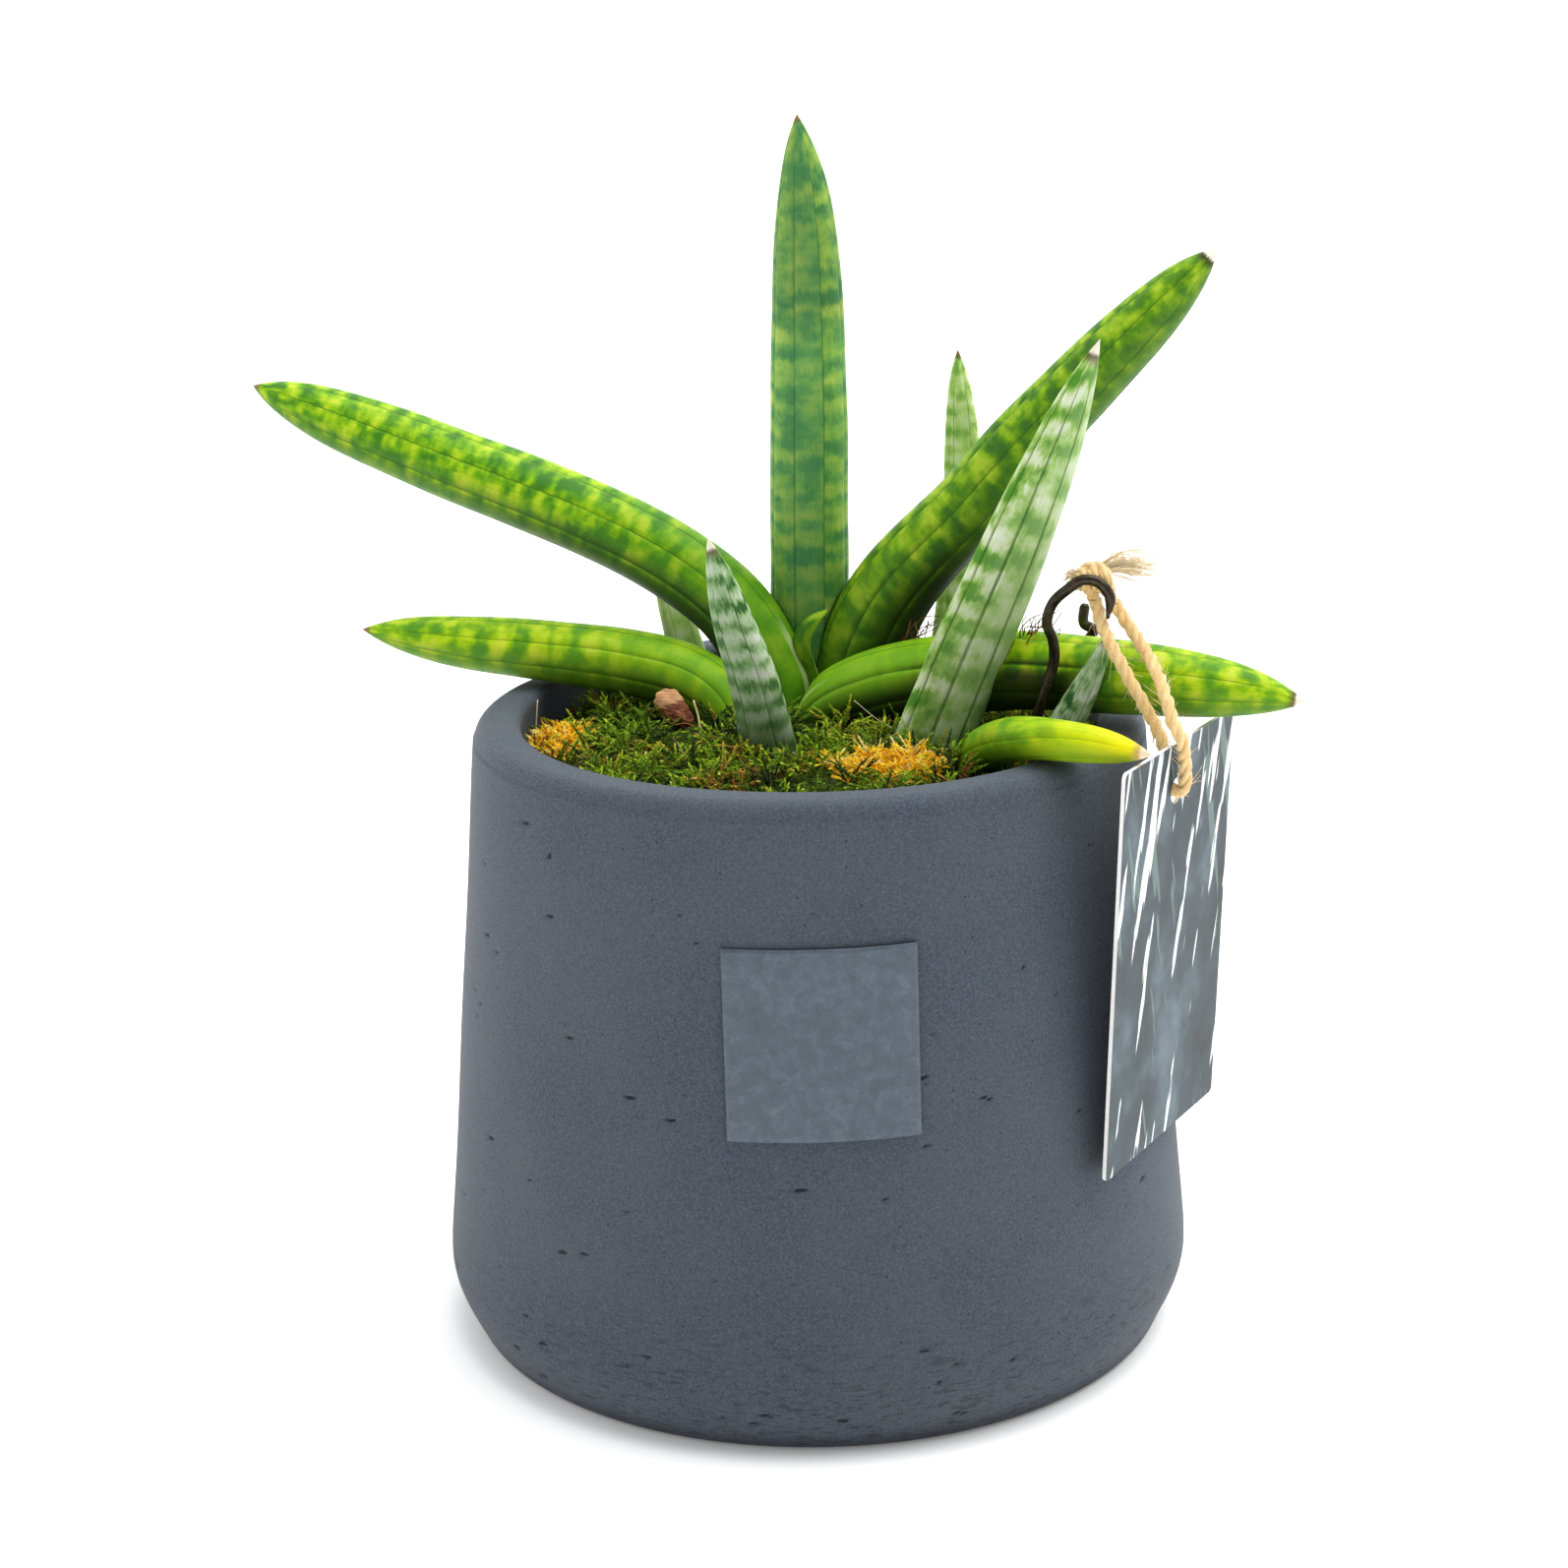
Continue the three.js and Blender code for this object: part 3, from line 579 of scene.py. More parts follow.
class SNAKEPLANT_OT_stage(bpy.types.Operator):
    """Sets up the floor, the soft studio light and the camera"""

    bl_idname = "snakeplant.stage"
    bl_label = "Stage"

    def execute(self, context):
        stage = context.scene.snakeplant_stage
        corners = [(x * FLOOR_HALF, y * FLOOR_HALF, 0) for x, y in ((-1, -1), (1, -1), (1, 1), (-1, 1))]
        mesh = make_mesh("floor", corners, [[0, 1, 2, 3]], smooth=False)
        mesh.materials.append(floor_material(stage.floor_glow))
        floor = bpy.data.objects.new("floor", mesh)
        context.scene.collection.objects.link(floor)
        sky(stage.sky_light)
        top_lamp(stage.top_light)
        camera = bpy.data.objects.new("camera", bpy.data.cameras.new("camera"))
        place, right, up, back = camera_frame(stage)
        turned = Matrix((right, up, back)).transposed().to_4x4()
        camera.matrix_world = Matrix.Translation(place) @ turned
        camera.data.lens = stage.lens
        camera.data.sensor_width = 36
        context.scene.collection.objects.link(camera)
        context.scene.camera = camera
        context.scene.view_settings.view_transform = "Standard"
        return {"FINISHED"}


# Twine and its knot

TWINE_ROUTE = [
    (57.6, -23.2, 160.2),
    (58.5, -24.9, 156.6),
    (60.2, -27.6, 152.4),
    (63.1, -30.2, 146.9),
    (66.1, -32, 141.6),
    (68.7, -33.6, 136.9),
    (70.2, -34.7, 133.4),
    (70.4, -34.9, 129.6),
    (70.7, -35.2, 126.4),
    (71.8, -35.8, 124.4),
    (73.2, -36.6, 124),
    (74.3, -37.2, 125),
    (74.5, -37.6, 127.6),
    (74.1, -38.1, 131),
    (73.6, -39.7, 134.6),
    (71.6, -39.4, 138.8),
    (70.6, -36.4, 142.8),
    (69.4, -31, 146.6),
    (67.4, -25.6, 150.2),
    (64.6, -22.8, 154.4),
    (61.4, -22.6, 159.4),
]
LONG_END = [(58, -21.6, 164.8), (62.5, -20, 166.4), (66.5, -19, 165.6), (70.8, -18.2, 165.3)]
SHORT_END = [(56, -22, 164.6), (53.4, -21.2, 165), (51.6, -20.6, 163.6)]
KNOT_MIDDLE = np.array([57, -22.4, 164])
OVER_KNOT = [  # from the knot's middle
    (-2.4, 0.6, -2),
    (-2.6, 2, 0.3),
    (-0.4, 2.1, 2.3),
    (1.8, 0.4, 2.4),
    (3.1, -1.3, 0.6),
    (3.6, -0.4, -2.4),
]
KNOT_TURNS = 2.6
KNOT_RADIUS = 1.75
HAIR_REACH = 3.0


def strands(route, turn, radius, parts, tone):
    """Three strands of fibre twisted about a route, whose whole width is two radii."""
    distances = np.linspace(0, route.length, max(12, int(route.length / 0.55)))
    centres = route.at(distances)
    along = route.direction(distances)
    first = unit(np.cross(along, (0.3, 1, 0.2)))
    second = np.cross(along, first)
    strand_radius = radius * 0.5
    for number in range(3):
        angle = (CIRCLE * (distances / turn + number / 3))[:, None]
        offset = strand_radius * (np.cos(angle) * first + np.sin(angle) * second)
        swell = strand_radius * (1 + 0.08 * np.sin(distances * 1.7 + number * 2.1))
        parts.add_tube(centres + offset, swell, 8, tone + 0.08 * (number - 1))


def hairs(route, count, radius, random, parts):
    """Loose fibres that leave the twine and curl."""
    for _ in range(count):
        start = random.uniform(0, route.length)
        along = route.direction(start)
        out = unit(np.cross(along, random.normal(size=3)))
        length = random.uniform(0.6, 1) * HAIR_REACH
        bend = unit(random.normal(size=3)) * random.uniform(0.2, 0.6) * length
        t = np.linspace(0, 1, 6)[:, None]
        root = route.at(start) + out * radius * 0.8
        centres = root + (out * 0.7 + along * 0.9) * t * length + bend * t**2
        parts.add_fibre(centres, 0.07, 0.035, 3, random.uniform(0.3, 1))


def twine_material():
    shade = Shade("jute", roughness=0.9, specular=0.2, sheen=0.5)
    fibre = shade.noise(shade.stretch(shade.place(), (3.2, 3.2, 0.9)), 1.6, 4, 0.6)
    tone = shade.plus(shade.times(fibre, 0.8), shade.times(shade.attribute("tone"), 0.3))
    stops = [(0.25, "#cf8f48"), (0.42, "#f2c070"), (0.58, "#fddc9c"), (0.8, "#fff2ce")]
    shade.bump(fibre, 0.35, 0.7)
    return shade.finish(shade.ramp(tone, stops))


class SNAKEPLANT_OT_twine(bpy.types.Operator):
    """Twists the twine that holds the card, with its hairs, its knot and the knot's frayed ends"""

    bl_idname = "snakeplant.twine"
    bl_label = "Twine"

    def execute(self, context):
        twine = context.scene.snakeplant_twine
        random = np.random.default_rng(5)
        material = twine_material()
        turn = twine.strand_turn / MM
        route = Route(TWINE_ROUTE)
        loop = Parts()
        strands(route, turn, TWINE_DIAMETER / 2, loop, 0.5)
        cord = loop.make("twine_loop", material, "twine")
        fluff = Parts()
        hairs(route, twine.hairs, TWINE_DIAMETER / 2, random, fluff)
        hair = fluff.make("twine_hairs", material)
        knot = self.knot(material, turn)
        ends = self.frayed_ends(material, random)
        return {"FINISHED"}

    def knot(self, material, turn):
        """Turns of twine wound over each other round the top of the hook."""
        wound = Parts()
        t = np.linspace(0, 1, 60)
        angle = CIRCLE * KNOT_TURNS * t
        across = lerp(-2.6, 2.8, t)
        bulge = KNOT_RADIUS * np.sqrt(np.clip(1 - (across / 4.6) ** 2, 0.2, 1))
        winding = KNOT_MIDDLE + np.column_stack([across, bulge * np.cos(angle), bulge * np.sin(angle)])
        strands(Route(winding), turn, 1.15, wound, 0.4)
        strands(Route(KNOT_MIDDLE + np.array(OVER_KNOT)), turn, 1.2, wound, 0.7)
        for end, beside in ((TWINE_ROUTE[0], -1.4), (TWINE_ROUTE[-1], 1.2)):
            inner_end = KNOT_MIDDLE + (beside, 0.4, 0)
            tail = Route([end, (np.array(end) + inner_end) / 2 + (0, 0, 0.4), inner_end])
            strands(tail, turn, TWINE_DIAMETER / 2, wound, 0.5)
        return wound.make("twine_knot_turns", material, "twine_knot")

    def frayed_ends(self, material, random):
        """Two ends whose fibres have come apart."""
        fibres = Parts()
        for points, count, fan in ((LONG_END, 130, 1.9), (SHORT_END, 50, 1.1)):
            route = Route(points)
            for _ in range(count):
                spread = random.normal(size=3) * (0.3, 0.75, 0.75) * fan
                reach = random.uniform(0.55, 1.03)
                distances = np.linspace(0, route.length * min(1, reach), 7)
                t = np.linspace(0, 1, 7)[:, None]
                curl = random.normal(size=3) * 0.7
                apart = spread * (0.35 + 0.65 * t)
                centres = route.at(distances) + apart + curl * np.sin(math.pi * t) * 0.5
                fibres.add_fibre(centres, 0.12, 0.05, 3, random.uniform(0.5, 1.4))
        return fibres.make("twine_frayed_ends", material)


# Pot

RING_STEP = 0.65  # between the pot's rings, on its outside
PIT_DEPTH = 0.55


def outer_radius(z):
    up = (z - POT_WIDEST_HEIGHT) / (POT_HEIGHT - POT_WIDEST_HEIGHT)
    return lerp(POT_WIDEST / 2, POT_RIM_OUTER / 2, up)


def inner_radius(z):
    return outer_radius(z) - POT_WALL


def pot_profile():
    """Radius and height from the underside's middle, up the wall, over the rim and down inside."""
    widest = POT_WIDEST / 2
    wall_start = 19
    foot = arc((FOOT_WIDTH / 2, FOOT_ROUND), FOOT_ROUND, -90, -20, 6)
    over = [(widest - 1.1, 10, 0), (widest - 0.2, 14, 0), (outer_radius(wall_start), wall_start, 0)]
    slope = Route([(*foot[-1], 0), *over])
    slope = slope.at(np.arange(RING_STEP, slope.length, RING_STEP))[:, :2]
    rows = np.arange(wall_start, POT_HEIGHT - RIM_ROUND, RING_STEP)
    wall = np.column_stack([outer_radius(rows), rows])
    rim = arc((outer_radius(POT_HEIGHT) - RIM_ROUND, POT_HEIGHT - RIM_ROUND), RIM_ROUND, 0, 90, 9)
    mouth = inner_radius(POT_HEIGHT) + RIM_INNER_ROUND
    lip = arc((mouth, POT_HEIGHT - RIM_INNER_ROUND), RIM_INNER_ROUND, 90, 180, 6)
    hidden = [90, 55, FLOOR_THICKNESS + 6]
    inside_rows = np.concatenate([np.arange(POT_HEIGHT - 3, 114, -1), hidden])
    inside = np.column_stack([inner_radius(inside_rows), inside_rows])
    floor = [(inner_radius(FLOOR_THICKNESS) - 6, FLOOR_THICKNESS), (30, FLOOR_THICKNESS)]
    return np.vstack([[(25, 0), (50, 0)], foot, slope, wall, rim, lip, inside, floor])


def pit_relief(angle, height, count, random):
    """How deep each point of the wall lies in a casting pit, from 0 to 1."""
    depth = np.zeros_like(angle)
    for _ in range(count):
        middle = random.uniform(-math.pi, math.pi)
        level = 6 + 120 * random.uniform() ** 2.4
        half_length = random.uniform(0.6, 1.8)
        half_height = random.uniform(0.33, 0.48)
        slant = random.normal() * 0.12
        across = (np.mod(angle - middle + math.pi, CIRCLE) - math.pi) * POT_WIDEST / 2
        rise = height - level - across * slant
        inside = (across / half_length) ** 2 + (rise / half_height) ** 2
        depth = np.maximum(depth, random.uniform(0.5, 1) * np.exp(-(inside**1.5)))
    return depth


def pot_material(clay):
    """Fine-grained clay with specks, dark flow streaks low down, a darker band round the foot, and painted
    shade in the pits.
    """
    shade = Shade("fibre_clay", roughness=0.85, specular=0.3, sheen=0.09)
    where = shade.place()
    height = shade.axis(where, 2)
    grain = shade.noise(where, 1.9, 3, 0.75)
    cloud = shade.noise(where, 0.035, 4, 0.6)
    tint = shade.ramp(grain, [(0.34, scaled(clay, 0.62)), (0.5, clay), (0.68, scaled(clay, 1.5))])
    tint = shade.blend(shade.step(cloud, 0.35, 0.7, 0.0, 0.3), tint, "#51585a")

    speck = shade.cells(where, 0.75)
    dots = shade.step(speck.outputs["Distance"], 0.1, 0.22, 1.0, 0.0)
    rare = shade.step(shade.axis(speck.outputs["Color"], 0), 0.93, 0.95)
    tint = shade.blend(shade.times(dots, rare), tint, "#22262b")

    flow = shade.noise(shade.stretch(where, (0.3, 0.3, 1.5)), 0.9, 3, 0.7)
    streaks = shade.times(shade.step(flow, 0.52, 0.64, 0.0, 0.8), shade.step(height, 42, 4, 0.0, 1.0))
    tint = shade.blend(streaks, tint, "#2a2f36")
    # Darker in the bottom few millimetres.
    darker_foot_band = shade.times(shade.step(height, 5, 1, 0.0, 0.7), shade.step(cloud, 0.3, 0.6, 0.5, 1.0))
    tint = shade.blend(darker_foot_band, tint, "#20242a")
    # Painted shade in the casting pits, darker where they are deeper.
    tint = shade.blend(shade.step(shade.attribute("tone"), 0.15, 0.6), tint, "#14171b")
    shade.bump(shade.plus(grain, shade.times(cloud, 2)), 0.12, 0.5)
    return shade.finish(tint)


class SNAKEPLANT_OT_pot(bpy.types.Operator):
    """Turns the cast pot, with its casting pits and slightly uneven wall"""

    bl_idname = "snakeplant.pot"
    bl_label = "Pot"

    def execute(self, context):
        pot = context.scene.snakeplant_pot
        around = pot.around
        random = np.random.default_rng(12)
        profile = pot_profile()
        angles = np.linspace(0, CIRCLE, around, endpoint=False)
        angle, radius = np.meshgrid(angles, profile[:, 0])
        height = np.broadcast_to(profile[:, 1][:, None], angle.shape)
        on_wall = smoothstep(1, 6, height) * (radius > inner_radius(POT_HEIGHT) + 1)
        wave = np.sin(2 * angle + 0.6) + 0.7 * np.sin(3 * angle + height / 38)
        wave = wave + 0.5 * np.sin(height / 9 + 2 * angle)
        rim_wave = 0.1 * np.sin(5 * angle + 1) * smoothstep(POT_HEIGHT - 8, POT_HEIGHT, height)
        pits = pit_relief(angle, height, pot.pits, random) * on_wall
        radius = radius + (pot.uneven / MM) * wave * on_wall + rim_wave - PIT_DEPTH * pits
        points = np.stack([radius * np.cos(angle), radius * np.sin(angle), height], axis=-1).reshape(-1, 3)
        faces = closed_rings(len(profile), around)
        values = {"tone": pits.ravel()}
        make_piece("pot_body", points, faces, [pot_material(list(pot.clay))], "pot", values=values)
        return {"FINISHED"}


# Sticker: a bare film

STICKER_CELLS = 44


def sticker_material():
    shade = Shade("label_film", roughness=0.42, specular=0.4)
    where = shade.place()
    mottle = shade.noise(where, 0.32, 3, 0.65, 0.6)
    grain = shade.noise(where, 1.9, 3, 0.75)
    tint = shade.ramp(mottle, [(0.3, "#4a545e"), (0.5, "#515c69"), (0.7, "#5e6a75")])
    seen = shade.ramp(grain, [(0.3, "#8c8c8c"), (0.7, "#ffffff")])
    shade.bump(mottle, 0.1, 0.3)
    return shade.finish(shade.blend(0.35, tint, seen, "MULTIPLY"))


class SNAKEPLANT_OT_sticker(bpy.types.Operator):
    """Lays the square film on the front of the pot"""

    bl_idname = "snakeplant.sticker"
    bl_label = "Sticker"

    def execute(self, context):
        row = STICKER_CELLS + 1
        across, height = np.meshgrid(*[np.linspace(-0.5, 0.5, row) * STICKER_SIZE] * 2)
        ripple = 0.035 * np.sin(across * 0.9 + 1) * np.sin(height * 0.7)
        ripple = ripple + 0.03 * np.sin(height * 1.3 - across * 0.4)
        z = STICKER_HEIGHT + height - across * math.sin(STICKER_TILT)
        sheets = []
        for offset in (STICKER_GAP, STICKER_GAP + STICKER_THICKNESS):
            radius = outer_radius(z) + offset + ripple
            angle = STICKER_HEADING + (across + height * math.sin(STICKER_TILT)) / radius
            sheet = np.stack([radius * np.sin(angle), -radius * np.cos(angle), z], axis=-1)
            sheets.append(sheet.reshape(-1, 3))
        count = row * row
        grid = np.arange(count).reshape(row, row)
        quads = np.stack([grid[:-1, :-1], grid[:-1, 1:], grid[1:, 1:], grid[1:, :-1]], axis=-1).reshape(-1, 4)
        edge = np.concatenate([grid[0, :-1], grid[:-1, -1], grid[-1, :0:-1], grid[:0:-1, 0]])
        after = np.roll(edge, -1)
        sides = np.stack([edge, after, after + count, edge + count], axis=-1)
        faces = np.vstack([quads[:, ::-1], quads + count, sides])
        make_piece("sticker_film", np.vstack(sheets), faces, [sticker_material()], "sticker")
        return {"FINISHED"}


# Leaves

# The dark, middle, light and palest colours of a leaf's bands, and the colour of the painted light and shade
# on its downward-facing side
PALETTES = {
    "bright": ["#42801c", "#6aa614", "#9ac614", "#c4d832", "#426c20"],
    "sunny": ["#5c981c", "#80b412", "#aed014", "#c8dc38", "#4f7c22"],
    "dusky": ["#427420", "#5c9016", "#84b018", "#a8c430", "#466c22"],
    "deep": ["#498a4a", "#6ca850", "#98c250", "#b6d05a", "#52803e"],
    "silver": ["#3a6c2c", "#94bc7c", "#c8dcb8", "#e6ecde", "#688a5c"],
    "frosted": ["#589428", "#98c25c", "#d0e0b0", "#e6eed4", "#a4c08a"],
    # pale is partly the back leaves' own paler green and partly painted light, for the strong light on them
    "pale": ["#88ba52", "#bce078", "#dcf0aa", "#ecf6d0", "#9cbe70"],
    "yellow": ["#3f7e10", "#7cb00c", "#b4cc0c", "#dcdc0c", "#648c16"],
}
YELLOWING = [(0.06, "#f6e80c"), (0.24, "#d4e00c"), (0.44, "#98c40c"), (0.66, "#4c9014")]
YELLOWING_LENGTH = 50  # from the tip, over which the yellow turns to green
DEEP_MIDDLE = "#4f9464"  # down the middle of the centre leaf's front
GLOOM = "#191f0e"  # painted shade, where little light comes between the leaves and the moss
MARGIN = "#c4d892"

# How dark the groove lines are, and those of the palettes that differ
USUAL_LINE = 0.6
LINE_STRENGTH = {"sunny": 0.55, "silver": 0.7, "frosted": 0.8, "yellow": 0.3}

# The colours of a dried tip's point and of the ring below it
TIPS = {
    "brown": ("#8c6e50", "#6b5a34"),
    "white": ("#efe4d2", "#5c4a30"),
    "pointed": ("#f4ecdc", "#2e2a1c"),
    "pink": ("#e4d0ae", "#b59a52"),
}

# Each leaf runs from its foot to its tip. inner is the side of its channel. sizes are its width, the width of
# its base, the roundness of its tip, its thickness over its width, and how hollow its inner side is along the
# blade and at the base. marks are its palette, the distance between its bands, how many of their patches a
# strip holds, how far their edges are torn, the share of them that is regular, how plain the base is, and how
# far up from the foot. margins are where the pale edges of the base lie, how far up they reach and how wide.
# tip is the kind and length of its dried tip. gloom is painted shade: it says where a leaf starts to darken,
# is dark and ends being dark, measured from the tip, how dark it gets, and up to which upward slope, where
# 1.5 is all round.
LEAVES = {
    "leaf_front_mottled": {
        "points": [(23, -6, 108), (25.5, -8, 126), (30.5, -9, 140), (44, -12, 173), (59, -14, 211)],
        "inner": (-0.3, 1, 0.2),
        "sizes": (16.8, 17.6, 18, 0.62, 0.45, 0.75),
        "marks": ("frosted", 8, 0.7, 0.9, 0.3, 0.0, 40),
        "tip": ("white", 3.6),
    },
    "leaf_front_small": {
        "points": [
            (-5.5, -14, 108),
            (-7.5, -17, 124),
            (-10.7, -19, 142),
            (-14.5, -20, 155),
            (-19.5, -22, 174),
        ],
        "inner": (0.3, 1, 0.2),
        "sizes": (12.2, 12.6, 11, 0.6, 0.4, 0.7),
        "marks": ("silver", 4.4, 0.45, 0.9, 0.65, 0.6, 42),
        "tip": ("white", 2.8),
        "gloom": [(28, 54, 200, 0.62, 1.5)],
    },
    "leaf_front_short": {
        "points": [(33, -10, 108), (33.5, -14, 121), (37, -31, 133), (46, -44.3, 137.7), (66, -53, 136.2)],
        "inner": (-0.4, 0.6, 1),
        "sizes": (12, 11.5, 6.5, 0.86, 0.1, 0.5),
        "marks": ("yellow", 6, 0.9, 0.4, 0.0, 0.6, 60),
        "tip": ("pink", 2.5),
    },
    "leaf_right_small": {
        "points": [(46.5, -9, 108), (48.5, -14, 121), (52.5, -20, 134), (57, -21, 143.5), (60.5, -22, 153)],
        "inner": (0.2, 1, 0),
        "sizes": (8.6, 9.2, 9, 0.55, 0.4, 0.6),
        "marks": ("silver", 5, 0.8, 1.6, 0.2, 0.6, 30),
        "tip": ("brown", 2),
    },
    "leaf_right_lower": {
        "points": [
            (-2, 18, 108),
            (0, 17.5, 119),
            (5.5, 14.5, 128.5),
            (14, 11, 133.5),
            (27, 6, 137.5),
            (44.5, -4, 141),
            (64, -15, 142),
            (83, -22, 141.3),
            (100, -26, 139),
        ],
        "inner": (-0.5, 0.3, 1),
        "sizes": (17.6, 15.5, 11, 0.96, 0, 0.8),
        "marks": ("sunny", 6.5, 0.9, 0.3, 0.2, 0.9, 80),
        "tip": ("white", 2.5),
        "margins": [(0.5, 28, 0.08)],
        "gloom": [(34, 48, 76, 0.9, 0.75), (70, 84, 200, 0.9, 0.45)],
    },
    "leaf_left_lower": {
        "points": [
            (-14, 10, 108),
            (-15, 11.5, 122),
            (-18.5, 14, 130.5),
            (-26, 18, 135),
            (-38.8, 22, 137.8),
            (-56.3, 26, 139.6),
            (-76.3, 29, 141.4),
            (-97.4, 32, 143.8),
        ],
        "inner": (0.7, 0, 1),
        "sizes": (16.2, 15, 11, 0.9, 0, 0.6),
        "marks": ("sunny", 7, 0.7, 0.3, 0.25, 0.7, 75),
        "tip": ("brown", 1.5),
        "gloom": [(50, 75, 200, 0.6, 0.3)],
    },
    "leaf_left_upper": {
        "points": [
            (-5, 24, 108),
            (-6, 23, 122),
            (-8.5, 23.5, 135),
            (-15, 26, 147),
            (-27.5, 31, 157),
            (-47, 37, 166.5),
            (-77, 45, 177.5),
            (-122, 56, 194),
        ],
        "inner": (1, -0.15, 0.9),
        "sizes": (17.6, 20.5, 10, 0.94, 0, 0.75),
        "marks": ("bright", 5.8, 0.85, 0.3, 0.25, 0.78, 90),
        "margins": [(7.05, 38, 0.2)],
        "gloom": [(95, 125, 200, 0.7, 0.4), (30, 100, 200, 0.55, 0.15)],
        "tip": ("brown", 1.5),
    },
    "leaf_right_upper": {
        "points": [
            (9, 31, 108),
            (9.8, 30, 128),
            (13, 27.7, 140.2),
            (19.2, 24.6, 153),
            (36, 19.8, 172.2),
            (47, 17.2, 185.4),
            (60, 14, 199.5),
            (85, 8, 226),
        ],
        "inner": (-1, 0, 0.9),
        "sizes": (17, 20.5, 10.3, 0.94, 0, 0.6),
        "flare": 78,
        "marks": ("dusky", 6, 0.8, 0.35, 0.25, 0.3, 70),
        "tip": ("pointed", 3),
        "gloom": [(62, 92, 200, 0.95, 0.2)],
    },
    "leaf_centre": {
        "points": [
            (1, 34, 108),
            (0.5, 33.5, 129),
            (0.8, 33, 160),
            (1.2, 32.5, 194),
            (1, 32, 232),
            (-0.3, 32, 252.5),
        ],
        "inner": (0, -1, 0),
        "sizes": (17, 16.4, 12.6, 0.96, 0, 0.3),
        "marks": ("deep", 6.2, 0.5, 0.8, 0.35, 0.3, 60),
        "tip": ("brown", 1.2),
        "gloom": [(-1, 4, 38, 0.25, 1.5)],
    },
    "leaf_back_small": {
        "points": [(29, 35, 108), (31, 36, 129), (33.5, 38, 149), (34.5, 40, 172), (33.5, 40, 201.5)],
        "inner": (0, -1, 0.2),
        "sizes": (9.8, 10, 9.5, 0.62, 0.4, 0.6),
        "marks": ("pale", 4.2, 0.5, 0.8, 0.4, 0.4, 50),
        "tip": ("brown", 1.5),
    },
    "leaf_behind_left": {
        "points": [(-21, 41, 108), (-24, 43, 122), (-28, 46.5, 138), (-31, 49, 150), (-33, 50, 163)],
        "inner": (0.4, -1, 0.2),
        "sizes": (9.4, 10, 9, 0.6, 0.4, 0.6),
        "marks": ("pale", 6, 0.5, 0.8, 0.2, 0.6, 50),
        "tip": ("brown", 1.5),
        "gloom": [(14, 34, 200, 0.4, 1.5)],
    },
    "sheath_scale": {
        "points": [(1.5, 23, 121), (0.2, 21.5, 132), (-1.5, 19.8, 141), (0.8, 19.2, 146.2), (5, 19, 149.7)],
        "inner": (0.6, 1, -0.6),
        "sizes": (5.6, 6.4, 5, 0.42, 0.3, 0.5),
        "margins": [(1, 60, 0.08), (4, 60, 0.08)],
        "marks": ("dusky", 9, 0.5, 0.5, 0.0, 0.3, 30),
        "tip": ("brown", 0.6),
    },
}
STRIP_SHIFT = 1.8  # how far bands are moved from strip to strip at most
NARROW_LEAF = 13  # leaves narrower than this have six grooves, and the others eight
USUAL_FLARE = 34  # from the foot, over which a leaf widens to its base
TIP_STATIONS = [0.05, 0.25, 0.6, 1.1, 1.8, 2.7, 3.8, 5.2, 6.8, 8.6, 10.5]
GROOVE_SHARES = [0, 0.045, 0.1, 0.2, 0.35, 0.5, 0.65, 0.8, 0.9, 0.955]  # points across each strip
GROOVE_SPREAD = 2.6  # degrees round the leaf to each side of a groove
SHOULDER_SPREAD = 7
SHOULDER_DEPTH = 0.01
BLADE_WAVE = 0.05
CUT_GAP = 0.18  # between a leaf and one that clasps it
UV_LENGTH = 100  # millimetres of leaf for each unit of its corner places


